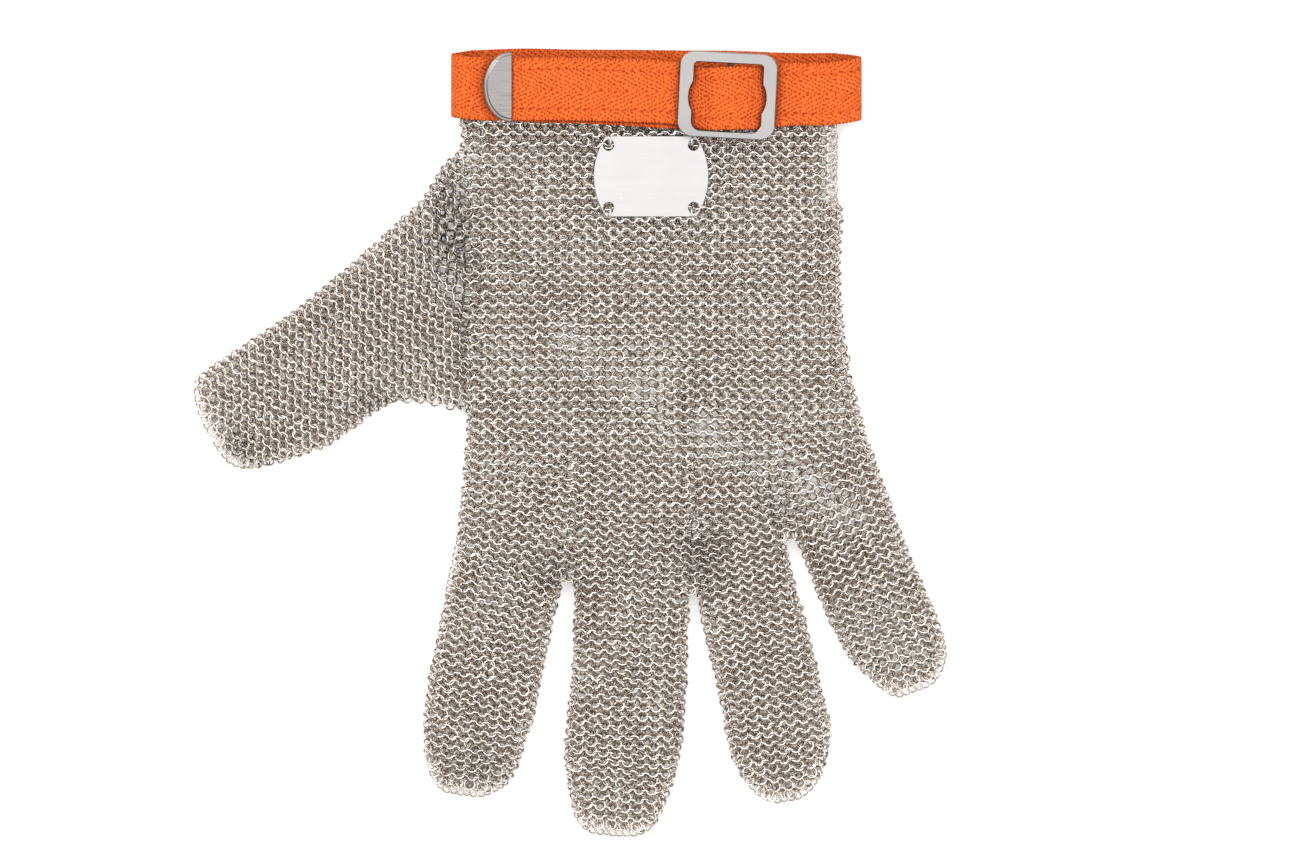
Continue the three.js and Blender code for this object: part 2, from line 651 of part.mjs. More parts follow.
function capSolid() {
  const half = strapWidth / 2 + capOverhang;
  const pocketHeight = strapThickness + 2 * gap;
  const bodyHeight = 2 * capFloor + pocketHeight;
  const body = new THREE.ExtrudeGeometry(capShape(capReach, half, capMouth), {
    depth: bodyHeight + capRimRise, curveSegments: 16, bevelEnabled: false,
  });
  const face = new THREE.ExtrudeGeometry(capShape(capReach - capRim, half - capRim, 2 * capMouth), {
    depth: 2 * capRimRise, curveSegments: 16, bevelEnabled: false,
  });
  face.translate(0, 0, bodyHeight);
  const pocket = new THREE.BoxGeometry(2 * pocketDepth, strapWidth + 2 * gap, pocketHeight);
  pocket.translate(capMouth, 0, capFloor + pocketHeight / 2);
  return solidOf(body).subtract(solidOf(face)).subtract(solidOf(pocket));
}

// The bare plate: straight above and below, with bowed sides and a hole in each corner.
function plateGeometry() {
  const halfWidth = plateWidth / 2;
  const halfHeight = plateHeight / 2;
  const centre = halfWidth - plateSideRadius;
  const sweep = Math.asin(halfHeight / plateSideRadius);
  const outline = new THREE.Shape();
  outline.absarc(centre, 0, plateSideRadius, -sweep, sweep);
  outline.absarc(-centre, 0, plateSideRadius, Math.PI - sweep, Math.PI + sweep);
  for (const across of [-0.5, 0.5]) {
    for (const along of [-0.5, 0.5]) {
      const hole = new THREE.Path();
      hole.absarc(across * holeSpanAcross, along * holeSpanAlong, plateHole / 2, 0, 2 * Math.PI);
      outline.holes.push(hole);
    }
  }
  return new THREE.ExtrudeGeometry(outline, { depth: plateThickness, curveSegments: 8, bevelEnabled: false });
}

const mailSteel = () => new THREE.MeshStandardMaterial({ color: 0xaba199, roughness: 0.35, metalness: 1 });
const webbing = new THREE.MeshStandardMaterial({ color: 0xf1722f, roughness: 0.85, metalness: 0 });
const brushedSteel = new THREE.MeshStandardMaterial({ color: 0xd0c9c4, roughness: 0.3, metalness: 1 });
const polishedSteel = new THREE.MeshStandardMaterial({ color: 0xdcd3cf, roughness: 0.18, metalness: 1 });
const plateSteel = new THREE.MeshStandardMaterial({ color: 0xf2f0ee, roughness: 0.3, metalness: 1 });

function namedMesh(name, geometry, material) {
  const mesh = new THREE.Mesh(geometry, material);
  mesh.name = name;
  return mesh;
}

const glove = new THREE.Group();
mailSolids().forEach(([name, solid]) => glove.add(namedMesh(name, geometryOf(solid), mailSteel())));
glove.add(namedMesh('wrist_strap', geometryOf(strapSolid()), webbing));

const buckle = namedMesh('slide_buckle', geometryOf(buckleSolid()), polishedSteel);
buckle.position.set(buckleX, buckleY, 0);
buckle.rotation.z = THREE.MathUtils.degToRad(buckleTurn);
glove.add(buckle);

const cap = namedMesh('strap_end_cap', geometryOf(capSolid()), brushedSteel);
cap.position.set(capX, capY, capBase);
glove.add(cap);

const plate = namedMesh('name_plate', plateGeometry(), plateSteel);
plate.position.set(0, strapEdge - plateDrop - plateHeight / 2, cuffTop + gap);
glove.add(plate);

// The glove stands on the middle of its own footprint.
const bounds = new THREE.Box3().setFromObject(glove);
const middle = bounds.getCenter(new THREE.Vector3());
const part = new THREE.Group();
glove.position.set(-middle.x, -middle.y, -bounds.min.z);
part.add(glove);

export default part;
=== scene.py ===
"""A ring-mail oyster shucking glove lying flat on its palm side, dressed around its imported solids.

Everything is in the solids' own frame: +Z up, the fingers towards -Y and the cuff towards +Y. Lengths are in
metres where they are marked with MM, and in millimetres where a class says so. Places in plan are arrays
whose last axis is x and y.
"""

import logging
import math
from collections.abc import Callable
from dataclasses import dataclass, field
from enum import Enum

import bmesh
import bpy
import numpy as np
from mathutils import Matrix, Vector
from mathutils.bvhtree import BVHTree
from mathutils.kdtree import KDTree


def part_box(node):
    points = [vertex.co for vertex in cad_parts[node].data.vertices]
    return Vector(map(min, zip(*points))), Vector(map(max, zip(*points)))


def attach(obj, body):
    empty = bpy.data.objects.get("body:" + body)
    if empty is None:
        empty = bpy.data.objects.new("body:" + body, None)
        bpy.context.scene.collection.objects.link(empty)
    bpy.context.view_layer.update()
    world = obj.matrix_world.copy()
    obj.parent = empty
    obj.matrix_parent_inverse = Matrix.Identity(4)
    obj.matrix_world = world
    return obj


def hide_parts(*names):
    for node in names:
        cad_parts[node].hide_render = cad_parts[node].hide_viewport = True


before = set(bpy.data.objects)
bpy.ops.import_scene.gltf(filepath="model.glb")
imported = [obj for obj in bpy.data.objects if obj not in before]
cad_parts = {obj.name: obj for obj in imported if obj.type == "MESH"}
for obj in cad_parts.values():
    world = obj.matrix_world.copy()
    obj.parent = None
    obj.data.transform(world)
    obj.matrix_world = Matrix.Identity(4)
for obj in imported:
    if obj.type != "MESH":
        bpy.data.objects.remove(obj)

MM = 0.001
LOG = logging.getLogger("glove")
Array = np.ndarray
Socket = bpy.types.NodeSocket
Outline = list[tuple[float, float]]
Colour = tuple[float, float, float, float]
UP = np.array([0.0, 0.0, 1.0])


class Sheet(Enum):
    """Which part of a row a ring lies in. The value is the side of the middle that it lies on."""

    FRONT = 1.0
    SIDE = 0.0
    BACK = -1.0


class End(Enum):
    """How a row of rings ends."""

    CLOSED = 0
    JOINED = 1
    OPEN = 2


def smoothstep(value: Array, low: float, high: float) -> Array:
    """Eases from 0 to 1 between two values."""
    share = np.clip((value - low) / (high - low), 0.0, 1.0)
    return share * share * (3.0 - 2.0 * share)


def unit(vectors: Array) -> Array:
    """Vectors scaled to length 1 along their last axis."""
    return vectors / np.maximum(np.linalg.norm(vectors, axis=-1, keepdims=True), 1e-12)


def distances(line: Array) -> Array:
    """How far along a line each of its points lies."""
    return np.concatenate([[0.0], np.cumsum(np.linalg.norm(np.diff(line, axis=0), axis=1))])


def points_along(line: Array, gone: Array, marks: Array) -> Array:
    """The points of a line at chosen distances, given its points and how far along it they lie."""
    return np.stack([np.interp(marks, gone, values) for values in line.T], axis=-1)


class Waves:
    """A gentle, repeatable unevenness over the plan, made of a few crossed waves."""

    def __init__(self, seed: int, length: float, count: int = 7) -> None:
        """Draws the waves.

        Args:
            seed: The number that the waves are drawn from.
            length: The typical distance between two crests.
            count: How many waves are added up.
        """
        draw = np.random.default_rng(seed)
        turn = draw.uniform(0.0, 2.0 * math.pi, count)
        rate = 2.0 * math.pi / (length * draw.uniform(0.7, 1.6, count))
        self.rates = np.stack([rate * np.cos(turn), rate * np.sin(turn)])
        self.start = draw.uniform(0.0, 2.0 * math.pi, count)

    def at(self, spots: Array) -> Array:
        """The unevenness at places in plan, mostly between -1 and 1."""
        return math.sqrt(2.0 / len(self.start)) * np.sin(spots @ self.rates + self.start).sum(axis=-1)


@dataclass
class Footprint:
    """The mail solids read from above and below on a grid: how far in a place lies, and how high.

    The cuff is open, so the outline is carried on past it before distances are measured.
    """

    nodes: list[str]
    step: float = 0.5 * MM
    margin: float = 4.0 * MM
    reach: float = 12.0 * MM
    ray_start: float = 50.0 * MM
    half_wall: float = 0.9 * MM
    lowest: float = 1.8 * MM
    trusted_from: float = 2.2 * MM
    trusted_over: float = 2.5 * MM
    fields: dict[str, Array] = field(default_factory=dict)

    def __post_init__(self) -> None:
        """Casts rays on the grid and works out the fields that rows are laid by."""
        tree = self.tree()
        boxes = np.array([[list(corner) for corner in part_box(name)] for name in self.nodes])
        low, high = boxes[:, 0].min(axis=0), boxes[:, 1].max(axis=0)
        self.cuff = float(high[1])
        self.origin = low[:2] - self.margin
        extra = self.margin + np.array([0.0, self.reach])
        size = np.ceil((high[:2] + extra - self.origin) / self.step).astype(int) + 1
        top, bottom = np.full((2, *size), np.nan)
        for i, j in np.ndindex(*size):
            x = self.origin[0] + i * self.step
            y = min(self.origin[1] + j * self.step, self.cuff - self.step)
            hit = tree.ray_cast((x, y, self.ray_start), -UP)[0]
            if hit is not None:
                top[i, j] = hit.z
                bottom[i, j] = tree.ray_cast((x, y, -self.ray_start), UP)[0].z
        self.read(top, bottom)

    def tree(self) -> BVHTree:
        """The search tree over all the mail solids."""
        points: list[tuple[float, float, float]] = []
        faces: list[list[int]] = []
        for name in self.nodes:
            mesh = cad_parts[name].data
            start = len(points)
            points.extend(tuple(vertex.co) for vertex in mesh.vertices)
            faces.extend([start + index for index in polygon.vertices] for polygon in mesh.polygons)
        return BVHTree.FromPolygons(points, faces)

    def read(self, top: Array, bottom: Array) -> None:
        """Turns the raw heights into smooth fields.

        Args:
            top: The upper skin's heights, not a number outside the outline.
            bottom: The lower skin's heights.
        """
        inside = ~np.isnan(top)
        for _ in range(2):
            across = np.roll(inside, 1, 0) & np.roll(inside, -1, 0)
            along = np.roll(inside, 1, 1) & np.roll(inside, -1, 1)
            inside = inside | across | along
        depth = self.depth_of(inside)
        trust = np.clip((depth - self.trusted_from) / self.trusted_over, 0.004, 1.0) ** 2
        weight = np.where(np.isnan(top), 0.0, trust)
        top = self.spread(np.nan_to_num(top), weight) - self.half_wall
        bottom = np.maximum(self.spread(np.nan_to_num(bottom), weight) + self.half_wall, self.lowest)
        depth = self.blur(depth, 1)
        self.fields = {"depth": depth, "middle": (top + bottom) / 2.0, "half": (top - bottom) / 2.0}
        for axis, label in enumerate("xy"):
            self.fields[f"slope_{label}"] = np.gradient(depth, self.step, axis=axis)
            self.fields[f"tilt_{label}"] = np.gradient(top, self.step, axis=axis)

    def depth_of(self, inside: Array) -> Array:
        """How far each place lies inside the outline, up to the reach.

        Args:
            inside: True where the mail is.

        Returns:
            The distance to the nearest place outside.
        """
        cells = int(self.reach / self.step)
        row = np.where(inside, float(cells), 0.0)
        for shift in range(1, cells):
            outside = ~np.roll(inside, shift, 0) | ~np.roll(inside, -shift, 0)
            row = np.where(outside & (row > shift), float(shift), row)
        nearest = row**2
        for shift in range(1, cells):
            for way in (shift, -shift):
                nearest = np.minimum(nearest, np.roll(row**2, way, 1) + shift**2)
        return np.where(inside, np.sqrt(nearest) * self.step - self.step / 2.0, -self.step / 2.0)

    @staticmethod
    def blur(values: Array, rounds: int) -> Array:
        """Averages each place of a field with its neighbours a few times.

        Args:
            values: The field.
            rounds: How many times.

        Returns:
            The softened field.
        """
        for _ in range(rounds):
            for axis in (0, 1):
                values = (np.roll(values, 1, axis) + 2.0 * values + np.roll(values, -1, axis)) / 4.0
        return values

    def spread(self, values: Array, weight: Array) -> Array:
        """Carries the heights of the flat middle out to the edges.

        Args:
            values: The heights.
            weight: How far each height is trusted.

        Returns:
            A height everywhere.
        """
        total = np.full_like(values, 1e-9 * values.max())
        share = np.full_like(values, 1e-9)
        for rounds in (24, 60):
            total = total * 0.02 + self.blur(values * weight, rounds)
            share = share * 0.02 + self.blur(weight, rounds)
        return total / share

    def at(self, name: str, spots: Array) -> Array:
        """Reads a field between the grid's points.

        Args:
            name: The field.
            spots: Places in plan.

        Returns:
            The field's values there.
        """
        values = self.fields[name]
        cells = np.clip((spots - self.origin) / self.step, 0.0, np.array(values.shape) - 1.001)
        i, j = cells.astype(int).T
        u, v = cells.T - (i, j)
        low = values[i, j] * (1.0 - u) + values[i + 1, j] * u
        high = values[i, j + 1] * (1.0 - u) + values[i + 1, j + 1] * u
        return low * (1.0 - v) + high * v


@dataclass(frozen=True)
class Weave:
    """The four-in-one weave: every ring passes through two of the row before and two of the row after."""

    wire: float = 0.62 * MM
    ring_radius: float = 1.72 * MM
    pitch: float = 4.02 * MM
    palm_row: float = 1.69 * MM
    finger_row: float = 1.46 * MM
    thumb_row: float = 1.57 * MM
    lean: float = math.radians(34.0)
    edge_inset: float = 1.25 * MM
    loose_inset: float = 2.5 * MM
    edge_round: float = 6.5 * MM
    fringe_inset: float = 2.05 * MM
    fringe_pitch: float = 2.2 * MM


@dataclass(frozen=True)
class LooseStretch:
    """A stretch of the outline where flat rings hang loose, as a circle in plan in millimetres."""

    x: float
    y: float
    radius: float


@dataclass(frozen=True)
class SheetShift:
    """How far the lower sheet lies out of step with the upper one, in millimetres.

    The rows of the two sheets drift apart across the hand. Where both rows and columns are in step the floor
    shows through, in two slanting bright bands. The values are a place on the first band, the distance to
    the next such line, how far it falls over a millimetre across, how much lower the second band lies, the x
    at which it takes over and over what distance, and the x of each band's middle with its half length.
    """

    x: float = 9.5
    y: float = 27.3
    apart: float = 64.0
    fall: float = 0.56
    step_down: float = 6.0
    step_x: float = 32.0
    step_ease: float = 6.0
    narrowing: float = 0.6
    aside: float = 2.0
    bands: tuple[tuple[float, float], ...] = ((9.5, 21.0), (57.0, 23.0))
    band_ease: tuple[float, float] = (7.0, 3.0)

    def at(self, spots: Array, row: float) -> Array:
        """The lower sheet's shift, sideways only outside the two bands.

        Args:
            spots: Places in plan.
            row: The distance between two rows.

        Returns:
            The shifts across and along the hand, in metres.
        """
        x, y = spots.T / MM
        drop = self.step_down * smoothstep(x, self.step_x - self.step_ease, self.step_x + self.step_ease)
        turns = -(y + drop - self.y + self.fall * (x - self.x)) / self.apart
        turns = np.clip(turns - 0.5, -1.0, 1.0)
        along = 2.0 * row * (turns - self.narrowing * np.sin(2.0 * math.pi * turns) / (2.0 * math.pi))
        clear = np.zeros_like(x)
        for middle, half in self.bands:
            away = smoothstep(np.abs(x - middle), half - self.band_ease[0], half + self.band_ease[1])
            clear = np.maximum(clear, 1.0 - away)
        across = self.aside * MM * (1.0 - clear) * np.sin(math.pi * turns) ** 2
        return np.stack([across, along], axis=-1)


@dataclass(frozen=True)
class Pleats:
    """The steep pleats where the thumb's rows meet the hand, in millimetres and radians."""

    x: float = -37.8
    y: float = 67.0
    turn: float = math.radians(-27.0)
    width: float = 6.5
    length: float = 19.0
    pitch: float = 3.3
    height: float = 0.5

    def at(self, spots: Array) -> tuple[Array, Array]:
        """The pleats at places in plan.

        Args:
            spots: The places.

        Returns:
            How far each place lies among the pleats, and their wave from -1 in a groove to 1 on a ridge.
        """
        right, up = (spots / MM - (self.x, self.y)).T
        run = right * math.cos(self.turn) + up * math.sin(self.turn)
        within = np.exp(-((right / self.width) ** 2) - (up / self.length) ** 2)
        return within, np.cos(2.0 * math.pi * run / self.pitch)


@dataclass(frozen=True)
class CreaseShade:
    """Painted shade over a crease or hollow of the mail in plan, in millimetres: its middle, half sizes and
    strength.
    """

    x: float
    y: float
    half_x: float
    half_y: float
    strength: float

    def at(self, spots: Array) -> Array:
        """How dark the painted shade is at places in plan."""
        away = (spots / MM - (self.x, self.y)) / (self.half_x, self.half_y)
        return self.strength * np.exp(-(away**2).sum(axis=-1))


@dataclass
class RingSet:
    """Rings, each by its middle, two directions that span its plane and the direction out of the glove."""

    vectors: Array = field(default_factory=lambda: np.zeros((0, 4, 3)))
    sheets: Array = field(default_factory=lambda: np.zeros(0))

    def add(self, centre: Array, first: Array, second: Array, outward: Array, sheet: Sheet) -> None:
        """Adds rings.

        Args:
            centre: The rings' middles.
            first: A direction in each ring's plane.
            second: The other direction in each ring's plane.
            outward: The direction out of the glove at each ring.
            sheet: Where the rings lie.
        """
        vectors = np.stack(np.broadcast_arrays(centre, first, second, outward), axis=1)
        self.vectors = np.concatenate([self.vectors, vectors])
        self.sheets = np.concatenate([self.sheets, np.full(len(vectors), sheet.value)])

    def chosen(self, keep: Array) -> "RingSet":
        """The rings that flags or numbers pick out."""
        return RingSet(self.vectors[keep], self.sheets[keep])


@dataclass
class MailPatch:
    """One stretch of mail whose rows follow a line: the palm, a finger with its knuckle, or the thumb.

    start is where the line begins and bend where it turns from straight to its lean. The rows end at the two
    borders, each the x of a line read at y, and are open at the high side past the slit's y.
    """

    name: str
    node: str
    start: tuple[float, float]
    lean: float
    rows: Array
    half_span: float
    bend: tuple[float, float] = (0.0, 0.0)
    low_border: Outline = field(default_factory=list)
    high_border: Outline = field(default_factory=list)
    low_joined_above: float = math.inf
    high_joined_above: float = math.inf
    slit: float = math.inf
    first_parity: int = 0
    column_shift: float = 0.0
    overlap: float = 2.2 * MM
    fine: float = 0.1 * MM

    def lean_at(self, along: Array) -> Array:
        """The line's turn from the hand's direction at distances along it."""
        return self.lean * (smoothstep(along, *self.bend) if self.bend[1] > 0.0 else np.ones_like(along))

    def line(self) -> tuple[Array, Array]:
        """The line's points at the rows, and its lean there."""
        gone = np.arange(0.0, self.rows[-1] + 2.0 * self.fine, self.fine)
        lean = self.lean_at(gone[:-1])
        steps = np.cumsum(np.stack([np.sin(lean), -np.cos(lean)], axis=1) * self.fine, axis=0)
        line = self.start + np.concatenate([np.zeros((1, 2)), steps])
        return points_along(line, gone, self.rows), self.lean_at(self.rows)


def border_at(border: Outline, y: Array, beyond: float) -> Array:
    """Reads a border line.

    Args:
        border: The line's corners as x and y, from the lowest y to the highest.
        y: The places along the glove.
        beyond: What to give where there is no border.

    Returns:
        The border's x at each place.
    """
    if not border:
        return np.full_like(y, beyond)
    xs, ys = zip(*border)
    return np.where((y < ys[0]) | (y > ys[-1]), beyond, np.interp(y, ys, xs))


@dataclass
class Row:
    """A row of rings in plan: a point on it, its direction, which way it leans, and its two ends."""

    origin: Array
    across: Array
    side: float
    span: tuple[float, float] = (0.0, 0.0)
    ends: tuple[End, ...] = (End.CLOSED, End.CLOSED)

    @property
    def flow(self) -> Array:
        """The row's direction in space."""
        return np.array([*self.across, 0.0])

    def spots(self, a: Array) -> Array:
        """The places in plan at distances along the row."""
        return self.origin + np.multiply.outer(a, self.across)


@dataclass(frozen=True)
class Loop:
    """The closed line round a row: over the front sheet, round the high side, back and up again.

    a holds the places along the row that both sheets are read at, and gone the distances along the line.
    """

    a: Array
    points: Array
    gone: Array
    nearby: float = 0.3 * MM

    def marks(self, columns: Array, sheet: Sheet) -> Array:
        """How far along the line places of the row lie.

        Args:
            columns: The places along the row.
            sheet: The sheet that they lie in.

        Returns:
            The distances.
        """
        count = len(self.a)
        if sheet is Sheet.FRONT:
            return np.interp(columns, self.a, self.gone[:count])
        return np.interp(-columns, -self.a[::-1], self.gone[count : 2 * count])

    def walk(self, marks: Array) -> tuple[Array, Array]:
        """Reads the line at distances along it.

        Args:
            marks: The distances.

        Returns:
            The points and the line's direction there.
        """
        before, here, after = (
            points_along(self.points, self.gone, (marks + shift) % self.gone[-1])
            for shift in (-self.nearby, 0.0, self.nearby)
        )
        return here, unit(after - before)


@dataclass
class MailWeaver:
    """Lays the rows of a patch over the footprint, up one sheet, round the side and back under."""

    footprint: Footprint
    weave: Weave
    loose: tuple[LooseStretch, ...]
    folds: Pleats = Pleats()
    # Patches of painted shade over the mail's creases and hollows.
    crease_shades: tuple[CreaseShade, ...] = (
        CreaseShade(41.0, -35.0, 9.0, 11.0, 0.4), CreaseShade(-4.6, -41.0, 9.0, 6.0, 0.32),
        CreaseShade(-34.0, 34.0, 2.2, 26.0, 0.4), CreaseShade(66.0, -22.0, 6.0, 6.0, 0.28),
        CreaseShade(-62.0, 13.0, 12.0, 4.0, 0.35), CreaseShade(-106.0, -3.0, 7.0, 6.0, 0.4),
        CreaseShade(-29.6, -104.0, 10.0, 6.0, 0.28), CreaseShade(17.0, 92.0, 40.0, 6.0, 0.12),
        CreaseShade(36.0, -95.0, 3.5, 22.0, 0.2), CreaseShade(66.0, -7.0, 3.0, 14.0, 0.12),
    )
    shift: SheetShift = SheetShift()
    seed: int = 41
    sway: tuple[float, float] = (0.2 * MM, 0.3 * MM)
    heave: float = 0.3 * MM
    slip: float = 0.45
    jitter: tuple[float, float, float] = (0.11 * MM, 0.09 * MM, 0.05 * MM)
    lean_jitter: float = math.radians(5.0)
    roll_jitter: float = math.radians(8.0)
    sample: float = 0.2 * MM
    side_margin: float = 0.28
    side_stretch: float = 1.02
    free_from: float = 2.0 * MM
    free_over: float = 8.0 * MM
    palm_from_y: tuple[float, float] = (-35.0 * MM, 0.0)
    palm_from_x: tuple[float, float] = (-46.0 * MM, -34.0 * MM)
    least_up: float = 0.2
    # The painted shade in the pleats' grooves, and the darkest that any painted shade may go.
    pleat_shade: float = 1.2
    most_shade: float = 0.92
    droop: tuple[float, float] = (math.radians(-3.0), math.radians(6.0))
    shingle: tuple[float, float] = (math.radians(27.0), math.radians(3.0))
    slit_droop: tuple[float, float] = (math.radians(-10.0), math.radians(8.0))
    slit_shingle: float = math.radians(24.0)
    slit_reach: float = 1.7
    rings: RingSet = field(default_factory=RingSet)

    def __post_init__(self) -> None:
        """Draws the unevenness that the rows share."""
        lengths = (34.0 * MM, 22.0 * MM, 15.0 * MM, 70.0 * MM)
        self.sways_x, self.sways_y, self.heaves, self.slips = (
            Waves(self.seed + number, length) for number, length in enumerate(lengths)
        )
        self.draw = np.random.default_rng(self.seed + len(lengths))

    def inset(self, spots: Array) -> Array:
        """How far inside the outline the weave's own edge lies.

        Args:
            spots: Places in plan.

        Returns:
            The insets, larger where loose rings fill the rest.
        """
        share = np.zeros(len(spots))
        for stretch in self.loose:
            away = np.linalg.norm(spots / MM - (stretch.x, stretch.y), axis=-1)
            share = np.maximum(share, 1.0 - smoothstep(away, stretch.radius - 4.0, stretch.radius + 1.0))
        return self.weave.edge_inset + (self.weave.loose_inset - self.weave.edge_inset) * share

    def inward(self, spots: Array) -> Array:
        """How far inside the weave's own edge places in plan lie."""
        return self.footprint.at("depth", spots) - self.inset(spots)

    def weave_patch(self, patch: MailPatch) -> RingSet:
        """Makes a patch's rings.

        Args:
            patch: The patch.

        Returns:
            Its rings.
        """
        self.rings = RingSet()
        for number, (origin, lean) in enumerate(zip(*patch.line()), patch.first_parity):
            row = Row(origin, np.array([math.cos(lean), math.sin(lean)]), 1.0 if number % 2 else -1.0)
            if self.fit(patch, row):
                self.lay_row(row, patch.column_shift)
        return self.rings

    def fit(self, patch: MailPatch, row: Row) -> bool:
        """Finds where a row starts and ends, and how.

        Args:
            patch: The patch.
            row: The row, whose span and ends are filled in.

        Returns:
            Whether the row has any room.
        """
        a = np.arange(-patch.half_span, patch.half_span, self.sample)
        spots = row.spots(a)
        x, y = spots.T
        in_slit = (y > patch.slit) & (x > 0.0)
        inset = np.where(in_slit, self.weave.loose_inset, self.inset(spots))
        low = x > border_at(patch.low_border, y, -math.inf) - patch.overlap
        high = x < border_at(patch.high_border, y, math.inf) + patch.overlap
        good = (self.footprint.at("depth", spots) > inset) & low & high
        if not good.any():
            return False
        runs = np.flatnonzero(np.diff(good.astype(int), prepend=0, append=0)).reshape(-1, 2)
        first, after = runs[np.argmax(runs[:, 1] - runs[:, 0])]
        ends = []
        for place, beside, border, joined in (
            (first, first - 1, low, patch.low_joined_above),
            (after - 1, after, high, patch.high_joined_above),
        ):
            if 0 <= beside < len(a) and not border[beside] and y[place] > joined:
                ends.append(End.JOINED)
            else:
                ends.append(End.OPEN if in_slit[place] else End.CLOSED)
        row.span = (a[first], a[after - 1])
        row.ends = tuple(ends)
        return True

    def lay_row(self, row: Row, column_shift: float) -> None:
        """Lays one row's rings round both sheets.

        Args:
            row: The row.
            column_shift: Where the patch's columns start.
        """
        low, high = row.span
        pitch = self.weave.pitch
        base = column_shift + (pitch / 2.0 if row.side > 0.0 else 0.0)
        numbers = np.arange(math.ceil((low - base) / pitch), math.floor((high - base) / pitch) + 1)
        columns = base + pitch * numbers
        margins = [self.side_margin * self.weave.edge_round if end is End.CLOSED else 0.0 for end in row.ends]
        columns = columns[(columns >= low + margins[0]) & (columns <= high - margins[1])]
        loop = self.loop_of(row)
        total = loop.gone[-1]
        if not len(columns):
            if row.ends == (End.CLOSED, End.CLOSED):
                count = max(1, round(total / pitch))
                marks = (np.arange(count) + (0.5 if row.side > 0.0 else 0.0)) * total / count
                self.lean_rings(*loop.walk(marks), row.side, Sheet.SIDE)
            return
        front = self.lay_flat(row, loop, columns, Sheet.FRONT)
        if len(columns) > 2:
            columns = (columns[1:] + columns[:-1]) / 2.0
        back = self.lay_flat(row, loop, columns, Sheet.BACK)
        for end, start, stop, column, way in (
            (row.ends[1], front[1], back[1], columns[-1], 1.0),
            (row.ends[0], back[0], total + front[0], columns[0], -1.0),
        ):
            if end is End.CLOSED:
                gaps = max(2, round((stop - start) / (self.side_stretch * pitch)))
                marks = start + (stop - start) * np.arange(1, gaps) / gaps
                self.lean_rings(*loop.walk(marks), row.side, Sheet.SIDE)
            elif end is End.OPEN and row.side > 0.0:
                self.lay_free(row, column, way)

    def lay_flat(self, row: Row, loop: Loop, columns: Array, sheet: Sheet) -> Array:
        """Lays a row's rings in one sheet, and gives where the first and the last lie along its loop."""
        self.lean_rings(self.flat(row, columns, sheet), row.flow * sheet.value, row.side, sheet)
        return loop.marks(columns[[0, -1]], sheet)

    def loop_of(self, row: Row) -> Loop:
        """Draws the closed line round a row.

        Args:
            row: The row.

        Returns:
            The line.
        """
        low, high = row.span
        inset = min(self.weave.edge_round, (high - low) / 2.0)
        curve = inset * (1.0 - np.cos(np.linspace(0.0, math.pi / 2.0, 12)))
        middle = np.linspace(low + inset, high - inset, 60)[1:-1]
        a = np.concatenate([low + curve, middle, (high - curve)[::-1]])
        front = self.surface(row.spots(a), Sheet.FRONT)
        points = np.concatenate([front, self.surface(row.spots(a[::-1]), Sheet.BACK), front[:1]])
        return Loop(a, points, distances(points))

    def surface(self, spots: Array, sheet: Sheet) -> Array:
        """Points of a sheet's middle.

        Args:
            spots: Places in plan.
            sheet: The sheet.

        Returns:
            The points over those places.
        """
        share = np.clip(self.inward(spots) / self.weave.edge_round, 0.0, 1.0)
        fall = np.sqrt(np.clip(1.0 - (1.0 - share) ** 2, 0.0, 1.0))
        height = self.footprint.at("middle", spots) + sheet.value * self.footprint.at("half", spots) * fall
        if sheet is Sheet.FRONT:
            height = height + self.relief(spots) * share
        return np.column_stack([spots, height])

    def relief(self, spots: Array) -> Array:
        """How far the upper sheet stands above its smooth form: an uneven lie, and the thumb's pleats."""
        within, wave = self.folds.at(spots)
        return self.folds.height * MM * within * wave + self.heave * self.heaves.at(spots)

    def crease_shade(self, points: Array) -> Array:
        """How dark the painted shade makes the wire down in the pleats and creases.

        Args:
            points: Points of the wire.

        Returns:
            The darkness at each point, from 0 to 1.
        """
        spots = points[:, :2]
        within, wave = self.folds.at(spots)
        dark = [crease.at(spots) for crease in self.crease_shades]
        dark.append(self.pleat_shade * within * (0.5 - 0.5 * wave))
        return np.clip(np.max(dark, axis=0), 0.0, self.most_shade)

    def flat(self, row: Row, columns: Array, sheet: Sheet) -> Array:
        """Ring middles of one sheet, swayed a little.

        Args:
            row: The row.
            columns: The rings' places along the row.
            sheet: The sheet.

        Returns:
            The ring middles.
        """
        spots = row.spots(columns)
        free = smoothstep(self.inward(spots) - self.free_from, 0.0, self.free_over)[:, None]
        sway = np.stack([self.sways_x.at(spots), self.sways_y.at(spots)], axis=-1) * self.sway
        if sheet is Sheet.BACK:
            x, y = spots.T
            in_palm = smoothstep(y, *self.palm_from_y) * smoothstep(x, *self.palm_from_x)
            sway += self.shift.at(spots, self.weave.palm_row) * in_palm[:, None]
            sway[:, 1] += self.slip * self.weave.finger_row * self.slips.at(spots) * (1.0 - in_palm)
        return self.surface(spots + sway * free, sheet)

